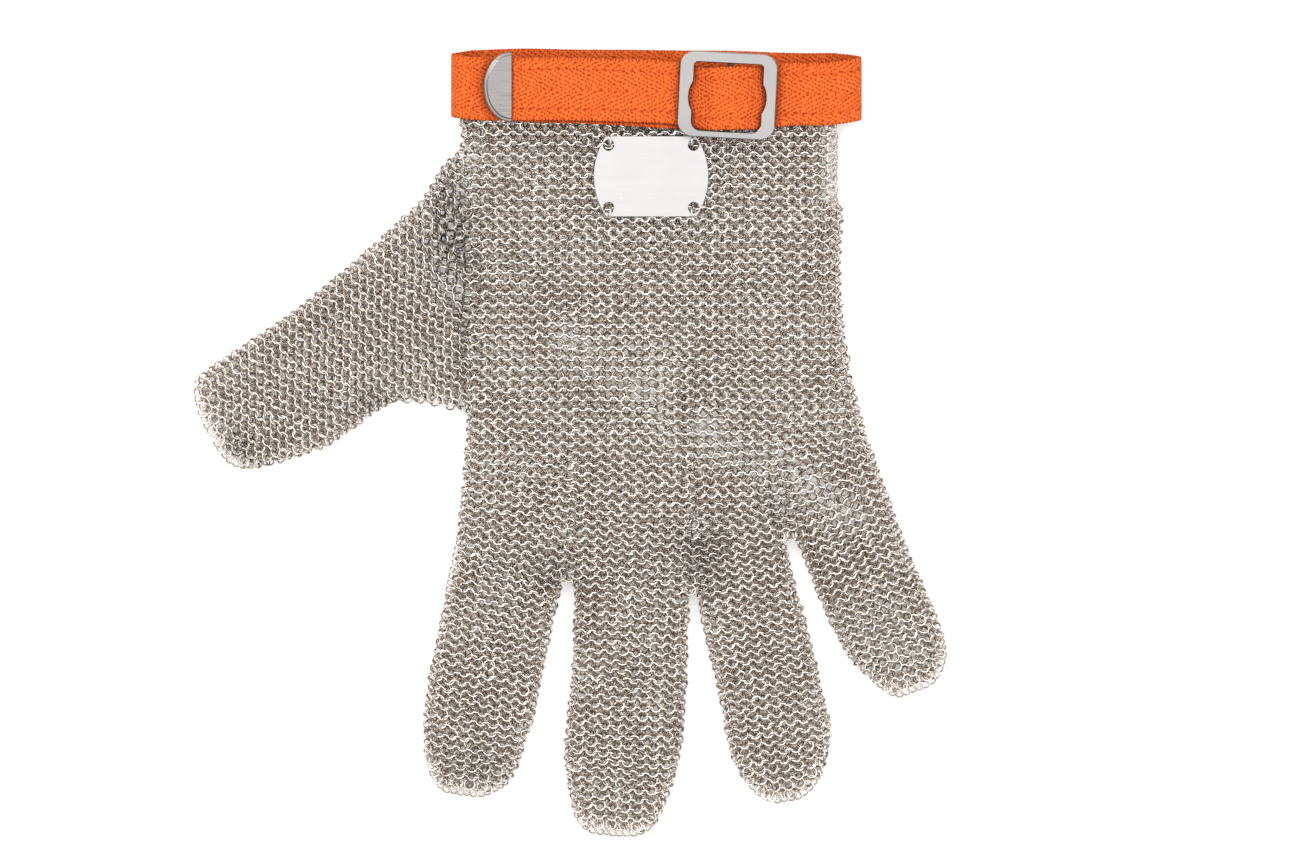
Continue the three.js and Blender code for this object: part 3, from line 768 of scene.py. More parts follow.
    def normals(self, points: Array, sheet: Sheet) -> Array:
        """The outward direction of the mail's surface.

        Args:
            points: Ring middles.
            sheet: Where the rings lie.

        Returns:
            Unit vectors.
        """
        spots = points[:, :2]
        out = np.clip(1.0 - self.inward(spots) / self.weave.edge_round, 0.0, 1.0)
        half = np.maximum(self.footprint.at("half", spots), 0.5 * MM)
        up = np.clip((points[:, 2] - self.footprint.at("middle", spots)) / half, -1.0, 1.0)
        if sheet is Sheet.FRONT:
            up = np.maximum(up, self.least_up)
        elif sheet is Sheet.BACK:
            up = np.minimum(up, -self.least_up)
        tilt = np.where(up > 0.0, 1.0 - out, 0.0) / half
        level = []
        for label, way in (("x", (1.0, 0.0)), ("y", (0.0, 1.0))):
            step = 2.0 * self.sample * np.array(way)
            rise = (self.relief(spots + step) - self.relief(spots - step)) / (4.0 * self.sample)
            slope = self.footprint.at(f"slope_{label}", spots) * out / self.weave.edge_round
            level.append(-slope - tilt * (self.footprint.at(f"tilt_{label}", spots) + rise))
        return unit(np.stack([*level, up / half], axis=-1))

    def lean_rings(self, points: Array, flow: Array, side: float, sheet: Sheet) -> None:
        """Adds rings that lie along a flow and lean out of the surface, each a little unlike the next.

        Args:
            points: The ring middles.
            flow: The row's own direction at each ring.
            side: Which way the row leans, 1 or -1.
            sheet: Where the rings lie.
        """
        normal = self.normals(points, sheet)
        count = len(points)
        flow = unit(flow - normal * (flow * normal).sum(axis=1, keepdims=True))
        lean = self.weave.lean + self.draw.normal(0.0, self.lean_jitter, (count, 1))
        roll = self.draw.normal(0.0, self.roll_jitter, (count, 1))
        second = np.cross(normal, flow) * np.cos(lean) + normal * side * np.sin(lean)
        first = flow * np.cos(roll) + np.cross(flow, second) * np.sin(roll)
        points = points + self.draw.normal(0.0, 1.0, (count, 3)) * self.jitter
        self.rings.add(points, first, second, normal, sheet)

    def fringe(self, stretch: LooseStretch) -> RingSet:
        """Hangs flat rings side by side along one loose stretch of the outline, each over the next.

        Args:
            stretch: The stretch, part of which lies inside the mail.

        Returns:
            Its rings.
        """
        middle = np.array([stretch.x, stretch.y]) * MM
        radius = stretch.radius * MM
        share = np.linspace(0.0, 1.0, 24)
        circle = np.stack([np.cos(2.0 * math.pi * share), np.sin(2.0 * math.pi * share)], axis=-1)
        disc = middle + radius * np.multiply.outer(share, circle).reshape(-1, 2)
        deepest = disc[np.argmax(self.footprint.at("depth", disc))]
        reach = np.arange(0.0, 2.0 * radius, 0.1 * MM)
        spots = []
        for turn in np.radians(np.arange(360.0)):
            ray = deepest + np.multiply.outer(reach, [math.cos(turn), math.sin(turn)])
            outside = self.footprint.at("depth", ray) < self.weave.fringe_inset
            edge = ray[np.argmax(outside)]
            if outside.any() and np.linalg.norm(edge - middle) < radius:
                spots.append(edge)
        line = np.array(spots)
        jumps = np.linalg.norm(line - np.roll(line, 1, axis=0), axis=1)
        line = np.roll(line, -int(np.argmax(jumps)), axis=0)
        gone = distances(line)
        marks = np.arange(self.weave.fringe_pitch / 2.0, gone[-1], self.weave.fringe_pitch)
        places = points_along(line, gone, marks)
        slope = [-self.footprint.at(name, places) for name in ("slope_x", "slope_y")]
        outward = unit(np.stack([*slope, np.zeros(len(places))], axis=1))
        onward = np.cross(UP, outward)
        droop = self.draw.normal(*self.droop, (len(places), 1))
        shingle = self.draw.normal(*self.shingle, (len(places), 1))
        first = outward * np.cos(droop) + UP * np.sin(droop)
        second = onward * np.cos(shingle) + np.cross(first, onward) * np.sin(shingle)
        rings = RingSet()
        points = np.column_stack([places, self.footprint.at("middle", places)])
        rings.add(points, first, second, UP, Sheet.FRONT)
        return rings

    def lay_free(self, row: Row, column: float, way: float) -> None:
        """Hangs a loose ring on the last ring of each sheet where the side is slit.

        Args:
            row: The row.
            column: The last ring's place along the row.
            way: Which end of the row this is, 1 or -1.
        """
        along = np.cross(UP, row.flow)
        for sheet in (Sheet.FRONT, Sheet.BACK):
            point = self.flat(row, np.array([column]), sheet)
            tip = self.draw.normal(self.slit_droop[0] * sheet.value, self.slit_droop[1])
            first = row.flow * way * math.cos(tip) + UP * math.sin(tip)
            turned = np.cross(first, along) * math.sin(self.slit_shingle)
            second = along * math.cos(self.slit_shingle) + turned
            middle = point + first * self.slit_reach * self.weave.ring_radius
            self.rings.add(middle, first, second, UP, Sheet.FRONT)


@dataclass(frozen=True)
class RingMesher:
    """Turns rings into a joined mesh of round wire."""

    weave: Weave
    segments: int
    sides: int
    crest_share: float = 0.62

    def build(
        self, name: str, rings: RingSet, crease_shade: Callable[[Array], Array] | None = None
    ) -> bpy.types.Object:
        """Makes the mesh. Each point's height out of the weave is kept as the attribute crest, how squarely
        the wire faces out of the mail there as brow, and the painted shade of creases and pleats as grime.

        Args:
            name: The piece's name.
            rings: The rings.
            crease_shade: Gives the painted shade of creases and pleats at points, from 0 to 1.

        Returns:
            The object.
        """
        centres, firsts, seconds, outwards = rings.vectors.swapaxes(0, 1)[:, :, None, None]
        turn = 2.0 * math.pi * np.arange(self.segments)[:, None, None] / self.segments
        tube = 2.0 * math.pi * (np.arange(self.sides)[:, None] + 0.5) / self.sides
        out = np.cos(turn) * firsts + np.sin(turn) * seconds
        facing = out * np.cos(tube) + np.cross(firsts, seconds) * np.sin(tube)
        offsets = out * self.weave.ring_radius + facing * self.weave.wire / 2.0
        points = (centres + offsets).reshape(-1, 3)
        here = np.arange(self.segments * self.sides).reshape(self.segments, self.sides)
        ahead = np.roll(here, -1, axis=0)
        quads = np.stack([here, ahead, np.roll(ahead, -1, axis=1), np.roll(here, -1, axis=1)], axis=-1)
        starts = np.arange(len(centres)) * here.size
        faces = quads.reshape(-1, 4) + starts[:, None, None]
        piece = mesh_object(name, points, faces.reshape(-1, 4))
        reach = 2.0 * self.crest_share * self.weave.ring_radius
        for label, values in (
            ("crest", 0.5 + (offsets * outwards).sum(axis=-1) / reach),
            ("brow", (facing * outwards).sum(axis=-1)),
            ("crease_shade", crease_shade(points) if crease_shade else np.zeros(len(points))),
        ):
            layer = piece.data.attributes.new(label, "FLOAT", "POINT")
            layer.data.foreach_set("value", np.clip(values, 0.0, 1.0).astype(np.float32).ravel())
        return piece


def mesh_object(name: str, points: Array, quads: Array) -> bpy.types.Object:
    """Makes a smooth-shaded object, linked to the scene, from points and four-sided faces.

    Args:
        name: The piece's name.
        points: The mesh's points.
        quads: Its faces.

    Returns:
        The object.
    """
    mesh = bpy.data.meshes.new(name)
    mesh.vertices.add(len(points))
    mesh.vertices.foreach_set("co", np.ascontiguousarray(points, dtype=np.float32).ravel())
    mesh.loops.add(len(quads) * 4)
    mesh.loops.foreach_set("vertex_index", np.ascontiguousarray(quads, dtype=np.int32).ravel())
    mesh.polygons.add(len(quads))
    mesh.polygons.foreach_set("loop_start", np.arange(0, len(quads) * 4, 4, dtype=np.int32))
    mesh.polygons.foreach_set("use_smooth", np.ones(len(quads), dtype=bool))
    mesh.update(calc_edges=True)
    mesh.validate()
    return linked(name, mesh)


def linked(name: str, data: bpy.types.ID) -> bpy.types.Object:
    """Makes an object of some data and links it to the scene.

    Args:
        name: The object's name.
        data: Its mesh, curve, light or camera.

    Returns:
        The object.
    """
    thing = bpy.data.objects.new(name, data)
    bpy.context.scene.collection.objects.link(thing)
    return thing


def add_faces(piece: bpy.types.Object, faces: list[list[int]], points: Array = np.zeros((0, 3))) -> None:
    """Adds faces of any number of corners to a piece's mesh.

    Args:
        piece: The piece.
        faces: Each face's corners by number.
        points: New points in millimetres, numbered on from the mesh's own.
    """
    shape = bmesh.new()
    shape.from_mesh(piece.data)
    for point in points:
        shape.verts.new(np.array(point) * MM)
    shape.verts.ensure_lookup_table()
    for corners in faces:
        shape.faces.new([shape.verts[corner] for corner in corners])
    bmesh.ops.recalc_face_normals(shape, faces=shape.faces[:])
    shape.to_mesh(piece.data)
    shape.free()


def settle(piece: bpy.types.Object, material: bpy.types.Material, slot: str, *nodes: str) -> None:
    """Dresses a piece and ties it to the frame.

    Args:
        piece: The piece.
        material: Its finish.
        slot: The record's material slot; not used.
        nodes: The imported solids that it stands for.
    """
    piece.data.materials.clear()
    piece.data.materials.append(material)
    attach(piece, "root")
    if nodes:
        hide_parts(*nodes)
    LOG.info("%s: %d faces", piece.name, len(piece.data.polygons))


@dataclass
class MailHand:
    """All the mail: the palm, the thumb and the four fingers as one run of linked rings.

    The seam and the forks are borders in millimetres. A finger's row gives its root's x and y, its lean in
    degrees, its length and the y above which its low and its high side are joined to the mail beside it.
    """

    weave: Weave = field(default_factory=Weave)
    first_row: float = 1.2 * MM
    knuckles: float = 17.5 * MM
    fine_segments: int = 12
    plain_segments: int = 8
    sides: int = 4
    faces_per_piece: int = 92000
    nearest: float = 1.6 * MM
    seam: tuple[tuple[float, float], ...] = (
        (-33.5, 7.0), (-30.5, 17.0), (-30.5, 50.0), (-31.0, 90.0), (-38.0, 99.5),
    )
    forks: tuple[tuple[tuple[float, float], ...], ...] = (
        ((-14.0, -140.0), (-0.6, -46.0), (-1.6, 17.6)),
        ((41.5, -140.0), (38.9, -47.3), (34.9, 17.6)),
        ((95.0, -100.0), (68.9, -29.8), (61.9, 17.6)),
    )
    fingers: tuple[tuple[str, float, float, float, float, float, float], ...] = (
        ("index", -19.7, -44.4, -9.4, 73.0, 7.0, -46.0),
        ("middle", 19.7, -47.9, -3.8, 81.0, -46.0, -47.3),
        ("ring", 57.8, -44.7, 7.7, 75.0, -47.3, -29.8),
        ("little", 86.4, -22.5, 18.9, 66.0, -29.8, math.inf),
    )
    loose: tuple[LooseStretch, ...] = (
        LooseStretch(-115.0, 2.0, 16.0), LooseStretch(-36.5, -112.0, 15.0), LooseStretch(12.0, -126.0, 15.0),
        LooseStretch(68.0, -116.0, 15.0), LooseStretch(112.0, -78.0, 16.0), LooseStretch(-32.0, -40.0, 12.0),
    )

    def rows(self, palm_length: float) -> Array:
        """The rows' places down the palm and a finger, whose spacing eases from the palm's to the finger's.

        Args:
            palm_length: How far the palm's own rows go.

        Returns:
            The places.
        """
        early, late = self.weave.palm_row, self.weave.finger_row
        change = palm_length + 35.0 * MM
        places = [self.first_row]
        while places[-1] < palm_length + 150.0 * MM:
            share = float(smoothstep(np.array(places[-1]), change - 20.0 * MM, change + 20.0 * MM))
            places.append(places[-1] + early + (late - early) * share)
        return np.array(places)

    def patches(self, cuff: float) -> list[MailPatch]:
        """The six stretches of mail.

        Args:
            cuff: The y of the mail's cuff edge.

        Returns:
            The patches, the palm first.
        """
        palm_length = cuff - self.knuckles
        rows = self.rows(palm_length)
        count = int((rows < palm_length).sum())
        borders = [[(x * MM, y * MM) for x, y in border] for border in (self.seam, *self.forks, ())]
        seam = borders[0]
        patches = [MailPatch(
            name="palm", node="mail_palm", start=(0.0, cuff), lean=0.0, rows=rows[:count],
            half_span=110.0 * MM, low_border=seam, low_joined_above=0.0, slit=76.0 * MM,
        )]
        for number, (name, x, y, degrees, length, low_joined, high_joined) in enumerate(self.fingers):
            lean = math.radians(degrees)
            run = self.knuckles - y * MM
            own = rows[count:]
            start_x = x * MM - run * math.sin(lean) / 2.0
            patches.append(MailPatch(
                name=name, node=f"mail_{name}_finger", start=(start_x, self.knuckles), lean=lean,
                rows=own[own < palm_length + run + length * MM] - palm_length, half_span=34.0 * MM,
                bend=(0.0, run), low_border=borders[number], high_border=borders[number + 1],
                low_joined_above=low_joined * MM, high_joined_above=high_joined * MM,
                first_parity=count, column_shift=-start_x % self.weave.pitch,
            ))
        patches.append(MailPatch(
            name="thumb", node="mail_thumb", start=(-35.9 * MM, 96.2 * MM), lean=math.radians(-53.0),
            rows=np.arange(2.0 * MM, 124.0 * MM, self.weave.thumb_row), half_span=105.0 * MM,
            high_border=[(-33.5 * MM, 6.9 * MM), *seam], high_joined_above=6.0 * MM,
        ))
        return patches

    def thin(self, sets: list[RingSet]) -> list[RingSet]:
        """Drops rings that land on a ring of an earlier patch.

        Args:
            sets: Each patch's rings.

        Returns:
            The same without the doubled rings.
        """
        kept: list[RingSet] = []
        placed = np.zeros((0, 3))
        for rings in sets:
            centres = rings.vectors[:, 0]
            tree = KDTree(len(placed))
            for number, centre in enumerate(placed):
                tree.insert(centre, number)
            tree.balance()
            near = [len(placed) and tree.find(centre)[2] <= self.nearest for centre in centres]
            clear = ~np.array(near, dtype=bool)
            kept.append(rings.chosen(clear))
            placed = np.concatenate([placed, centres[clear]])
        return kept

    def build(self, finish: bpy.types.Material) -> None:
        """Weaves and places every ring.

        Args:
            finish: The mail's steel.
        """
        footprint = Footprint(sorted(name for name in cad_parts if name.startswith("mail_")))
        weaver = MailWeaver(footprint, self.weave, self.loose)
        patches = self.patches(footprint.cuff)
        sets = self.thin([weaver.weave_patch(patch) for patch in patches])
        LOG.info("rings in all: %d", sum(len(rings.sheets) for rings in sets))
        for patch, rings in zip(patches, sets):
            behind = rings.sheets == Sheet.BACK.value
            for label, chosen, segments in (
                ("front", ~behind, self.fine_segments), ("back", behind, self.plain_segments),
            ):
                mesher = RingMesher(self.weave, segments, self.sides)
                most = self.faces_per_piece // (segments * self.sides)
                places = np.flatnonzero(chosen)
                for start in range(0, len(places), most):
                    name = f"{patch.name}_{label}_rings_{start // most + 1}"
                    piece = mesher.build(name, rings.chosen(places[start : start + most]), weaver.crease_shade)
                    nodes = (patch.node,) if label == "front" and start == 0 else ()
                    settle(piece, finish, "mail_steel", *nodes)
        mesher = RingMesher(self.weave, 20, 6)
        for number, stretch in enumerate(self.loose, 1):
            piece = mesher.build(f"fringe_rings_{number}", weaver.fringe(stretch))
            settle(piece, finish, "mail_steel")


class NodeSketch:
    """Adds shader nodes to a tree and links them."""

    def __init__(self, tree: bpy.types.NodeTree) -> None:
        """Keeps the tree that nodes are added to."""
        self.tree = tree

    def put(self, node: bpy.types.Node, values: dict[str | int, object]) -> None:
        """Links or sets a node's inputs.

        Args:
            node: The node.
            values: Sockets or plain values, by the inputs' names or numbers.
        """
        for key, value in values.items():
            if isinstance(value, Socket):
                self.tree.links.new(value, node.inputs[key])
            else:
                node.inputs[key].default_value = value

    def add(
        self, kind: str, inputs: dict[str | int, object] | None = None, **settings: object
    ) -> bpy.types.Node:
        """Adds a node.

        Args:
            kind: The node's type name after ShaderNode.
            inputs: Values or sockets for its inputs, by name or number.
            settings: The node's own settings.

        Returns:
            The node.
        """
        node = self.tree.nodes.new(f"ShaderNode{kind}")
        for key, value in settings.items():
            setattr(node, key, value)
        self.put(node, inputs or {})
        return node

    def maths(self, operation: str, first: object, second: object = 0.0) -> Socket:
        """The result of an operation on two numbers."""
        return self.add("Math", {0: first, 1: second}, operation=operation).outputs[0]

    def times(self, first: object, second: object) -> Socket:
        """The product of two numbers."""
        return self.maths("MULTIPLY", first, second)

    def plus(self, first: object, second: object) -> Socket:
        """The sum of two numbers."""
        return self.maths("ADD", first, second)

    def minus(self, first: object, second: object) -> Socket:
        """The difference of two numbers."""
        return self.maths("SUBTRACT", first, second)

    def size(self, value: object) -> Socket:
        """A number without its sign."""
        return self.maths("ABSOLUTE", value)

    def blend(self, share: object, first: object, second: object) -> Socket:
        """A mix of two colours."""
        return self.add("Mix", {0: share, 6: first, 7: second}, data_type="RGBA").outputs[2]

    def ramp(self, value: object, low: float, high: float, to_low: float, to_high: float) -> Socket:
        """A number carried over from one range to another."""
        return self.add("MapRange", {0: value, 1: low, 2: high, 3: to_low, 4: to_high}).outputs[0]

    def noise(self, place: object, scale: object, detail: float) -> Socket:
        """A cloudy texture's value."""
        return self.add("TexNoise", {"Vector": place, "Scale": scale, "Detail": detail}).outputs[0]


def new_group(
    name: str, inputs: dict[str, float | None], outputs: tuple[str, ...]
) -> tuple[NodeSketch, list[Socket], bpy.types.Node]:
    """Starts a shader node group.

    Args:
        name: The group's name.
        inputs: Each input's default, or nothing for a vector.
        outputs: The names of the numbers that it puts out.

    Returns:
        A sketch of the group, its inputs' sockets inside and its output node.
    """
    group = bpy.data.node_groups.new(name, "ShaderNodeTree")
    for key, value in inputs.items():
        kind = "NodeSocketVector" if value is None else "NodeSocketFloat"
        socket = group.interface.new_socket(key, in_out="INPUT", socket_type=kind)
        if value is not None:
            socket.default_value = value
    for key in outputs:
        group.interface.new_socket(key, in_out="OUTPUT", socket_type="NodeSocketFloat")
    given = group.nodes.new("NodeGroupInput")
    return NodeSketch(group), list(given.outputs)[: len(inputs)], group.nodes.new("NodeGroupOutput")


def tarnish_group() -> bpy.types.NodeTree:
    """A mottle of handling and tarnish for every metal, which puts out a mask and a fine grain."""
    sketch, (place, scale), result = new_group("tarnish", {"Vector": None, "Scale": 60.0}, ("Mask", "Grain"))
    mask = sketch.ramp(sketch.noise(place, scale, 5.0), 0.38, 0.66, 0.0, 1.0)
    sketch.put(result, {"Mask": mask, "Grain": sketch.noise(place, sketch.times(scale, 14.0), 3.0)})
    return sketch.tree


def brush_group() -> bpy.types.NodeTree:
    """Fine parallel brushing for the plate, the cap and the buckle, as a streak value and a height."""
    sketch, (place, across, along), result = new_group(
        "brushing", {"Vector": None, "Across": 9000.0, "Along": 120.0}, ("Streak", "Height")
    )
    scale = sketch.add("CombineXYZ", {0: along, 1: across, 2: across}).outputs[0]
    drawn = sketch.add("VectorMath", {0: place, 1: scale}, operation="MULTIPLY").outputs[0]
    wide = sketch.add("VectorMath", {0: drawn, 1: (0.4, 0.17, 0.17)}, operation="MULTIPLY").outputs[0]
    fine = sketch.noise(drawn, 1.0, 2.0)
    streak = sketch.plus(sketch.times(fine, 0.6), sketch.times(sketch.noise(wide, 1.0, 2.0), 0.4))
    sketch.put(result, {"Streak": streak, "Height": fine})
    return sketch.tree


def new_material(name: str) -> tuple[bpy.types.Material, NodeSketch, bpy.types.Node]:
    """Starts a material with its principled shader in place.

    Args:
        name: The material's name.

    Returns:
        The material, a sketch of its nodes and the shader.
    """
    material = bpy.data.materials.new(name)
    material.use_nodes = True
    shader = next(node for node in material.node_tree.nodes if node.type == "BSDF_PRINCIPLED")
    return material, NodeSketch(material.node_tree), shader


@dataclass(frozen=True)
class WireSteel:
    """Bright drawn wire, a little warm, with painted shade on its flanks, on its low arcs and in creases and
    pleats.
    """

    bright: Colour = (0.96, 0.89, 0.82, 1.0)
    dull: Colour = (0.85, 0.765, 0.69, 1.0)
    # Painted shade on each ring's low arcs, down in the weave.
    sunk_shade: Colour = (0.79, 0.7, 0.62, 1.0)
    # Painted shade on the wire's flanks, where it faces across the mail rather than out of it.
    side: Colour = (0.4, 0.335, 0.285, 1.0)
    # Painted shade in the mail's creases and pleats.
    crease_shade_tint: Colour = (0.12, 0.095, 0.078, 1.0)
    roughness: float = 0.2

    def make(self, tarnish: bpy.types.NodeTree) -> bpy.types.Material:
        """Builds the material.

        Args:
            tarnish: The group that mottles every metal.

        Returns:
            The material.
        """
        material, sketch, shader = new_material("mail_steel")
        place = sketch.add("TexCoord").outputs["Object"]
        mottle = sketch.add("Group", {"Vector": place, "Scale": 75.0}, node_tree=tarnish)
        tone = sketch.add("TexVoronoi", {"Vector": place, "Scale": 330.0}).outputs["Color"]
        apart = sketch.add("SeparateColor", {0: tone}).outputs[0]
        share = sketch.plus(sketch.times(mottle.outputs["Mask"], 0.3), sketch.times(apart, 0.4))
        colour = sketch.blend(share, self.bright, self.dull)
        # Painted shade: low arcs darken to sunk, the wire's flanks to side, and creases and pleats to grimy.
        for name, low, high, to_low, to_high, tint in (
            ("crest", 0.2, 0.8, 1.0, 0.0, self.sunk_shade),
            ("brow", 0.0, 0.62, 1.0, 0.0, self.side),
            ("crease_shade", 0.0, 1.0, 0.0, 1.0, self.crease_shade_tint),
        ):
            value = sketch.add("Attribute", attribute_name=name).outputs["Fac"]
            colour = sketch.blend(sketch.ramp(value, low, high, to_low, to_high), colour, tint)
        rough = sketch.ramp(mottle.outputs["Grain"], 0.3, 0.7, self.roughness - 0.05, self.roughness + 0.1)
        sketch.put(shader, {"Base Color": colour, "Roughness": rough, "Metallic": 1.0})
        return material


@dataclass(frozen=True)
class BrushedSteel:
    """Brushed sheet steel with a soft mottle."""

    name: str
    bright: Colour
    dull: Colour
    roughness: float
    streak: float
    turned: bool = False

    def make(self, tarnish: bpy.types.NodeTree, brushing: bpy.types.NodeTree) -> bpy.types.Material:
        """Builds the material.

        Args:
            tarnish: The group that mottles every metal.
            brushing: The group that draws the brushing.

        Returns:
            The material.
        """
        material, sketch, shader = new_material(self.name)
        place = sketch.add("TexCoord").outputs["Object"]
        if self.turned:
            place = sketch.add("Mapping", {"Vector": place, "Rotation": (0.0, 0.0, math.pi / 2.0)}).outputs[0]
        mottle = sketch.add("Group", {"Vector": place, "Scale": 45.0}, node_tree=tarnish)
        lines = sketch.add("Group", {"Vector": place, "Across": 7000.0, "Along": 160.0}, node_tree=brushing)
        streak = lines.outputs["Streak"]
        worn = sketch.times(mottle.outputs["Mask"], 0.4)
        share = sketch.plus(worn, sketch.ramp(streak, 0.35, 0.65, -self.streak, self.streak))
        bump = sketch.add("Bump", {"Strength": 0.25, "Distance": 0.00003, "Height": lines.outputs["Height"]})
        sketch.put(shader, {
            "Base Color": sketch.blend(share, self.bright, self.dull),
            "Metallic": 1.0,
            "Normal": bump.outputs[0],
            "Roughness": sketch.ramp(streak, 0.3, 0.7, self.roughness - 0.06, self.roughness + 0.1),
        })
        return material


@dataclass(frozen=True)
class HerringboneWebbing:
    """Orange herringbone webbing: dotted diagonals that meet at the middle and turn back by each edge.

    Its pitches and widths are in millimetres.
    """

    thread: Colour = (0.73, 0.105, 0.0125, 1.0)
    raised: Colour = (0.88, 0.19, 0.038, 1.0)
    hollow: Colour = (0.33, 0.022, 0.002, 1.0)
    shaded: Colour = (0.16, 0.012, 0.004, 1.0)
    line_pitch: float = 1.2
    dot_pitch: float = 1.25
    slope: float = math.radians(24.0)
    edge_band: float = 6.6
    half_width: float = 10.0
    shade_reach: float = 11.0 * MM

    def make(self) -> bpy.types.Material:
        """Builds the material, which reads millimetres along and across from the strap's own map."""
        material, sketch, shader = new_material("strap_webbing")
        place = sketch.add("UVMap", uv_map="webbing").outputs[0]
        fibre = sketch.noise(place, 2.2, 4.0)
        wander = sketch.noise(place, 0.35, 2.0)
        parts = sketch.add("SeparateXYZ", {0: place}).outputs
        along = sketch.plus(parts[0], sketch.ramp(wander, 0.0, 1.0, -2.2, 2.2))
        from_middle = sketch.size(sketch.minus(parts[1], self.half_width))
        height, dots = self.weave(sketch, along, from_middle)
        edge = sketch.ramp(from_middle, self.half_width - 0.9, self.half_width - 0.6, 0.0, 1.0)
        height = sketch.plus(sketch.times(height, sketch.minus(1.0, edge)), sketch.times(dots, edge))
        drift = sketch.ramp(wander, 0.0, 1.0, self.edge_band - 1.6, self.edge_band + 0.6)
        off_crease = sketch.size(sketch.minus(from_middle, drift))
        crease = sketch.times(
            sketch.ramp(off_crease, 0.0, 0.55, 0.5, 0.0), sketch.ramp(wander, 0.35, 0.6, 0.1, 1.0)
        )
        middle = sketch.ramp(from_middle, 0.0, 0.5, 0.08, 0.0)
        height = sketch.minus(height, sketch.maths("MAXIMUM", crease, middle))
        around = sketch.add("AmbientOcclusion", {"Distance": self.shade_reach}, samples=6).outputs["AO"]
        colour = self.hollow
        for value, low, high, to_low, to_high, tint in (
            (height, 0.0, 0.6, 0.0, 1.0, self.thread), (height, 0.6, 1.0, 0.0, 0.7, self.raised),
            (fibre, 0.35, 0.7, 0.0, 0.3, self.hollow), (wander, 0.4, 0.7, 0.0, 0.2, self.raised),
            (around, 0.4, 0.95, 0.88, 0.0, self.shaded),
        ):
            colour = sketch.blend(sketch.ramp(value, low, high, to_low, to_high), colour, tint)
        full = sketch.plus(height, sketch.times(fibre, 0.3))
        bump = sketch.add("Bump", {"Strength": 1.0, "Distance": 0.0003, "Height": full})
        sketch.put(shader, {
            "Base Color": colour, "Roughness": 0.72, "Specular IOR Level": 0.14, "Normal": bump.outputs[0],
        })
        return material

    def weave(self, sketch: NodeSketch, along: Socket, from_middle: Socket) -> tuple[Socket, Socket]:
        """Adds the diagonal lines of raised dots.

        Args:
            sketch: The material's nodes.
            along: The distance along the webbing.
            from_middle: The distance from its middle line.

        Returns:
            The weave's height, and that of the dots alone.
        """
        beyond = sketch.maths("MAXIMUM", sketch.minus(from_middle, self.edge_band), 0.0)
        folded = sketch.minus(from_middle, sketch.times(beyond, 2.0))
        phase = sketch.minus(
            sketch.times(along, math.sin(self.slope) / self.line_pitch),
            sketch.times(folded, math.cos(self.slope) / self.line_pitch),
        )
        lines = sketch.size(sketch.maths("SINE", sketch.times(phase, math.pi)))
        dots = sketch.size(sketch.maths("SINE", sketch.times(along, math.pi / self.dot_pitch)))
        groove = sketch.minus(1.0, sketch.times(lines, lines))
        woven = sketch.minus(1.0, sketch.times(groove, sketch.ramp(dots, 0.15, 0.9, 1.0, 0.35)))
        return woven, dots


def arc(
    x: float, y: float, radius: float, start: float, stop: float, steps: int, rise: float | None = None
) -> Outline:
    """Points round part of a circle, or of an oval.

    Args:
        x: The middle's x.
        y: The middle's y.
        radius: The radius, or the half width of an oval.
        start: The first angle in degrees.
        stop: The last angle.
        steps: How many steps.
        rise: The half height of an oval.

    Returns:
        The points.
    """
    turns = np.radians(np.linspace(start, stop, steps + 1))
    return [(x + radius * math.cos(t), y + (rise or radius) * math.sin(t)) for t in turns]


def rounded_box(half: float, low: float, high: float, corner: float, steps: int) -> Outline:
    """A rounded rectangle about x = 0.

    Args:
        half: Its half width.
        low: Its foot.
        high: Its top.
        corner: Its corners' radius.
        steps: The steps of a corner.

    Returns:
        The outline, anticlockwise from the foot's right corner.
    """
    side, foot, top = half - corner, low + corner, high - corner
    corners = ((side, foot), (side, top), (-side, top), (-side, foot))
    starts = (-90.0, 0.0, 90.0, 180.0)
    return sum((arc(*spot, corner, start, start + 90.0, steps) for spot, start in zip(corners, starts)), [])


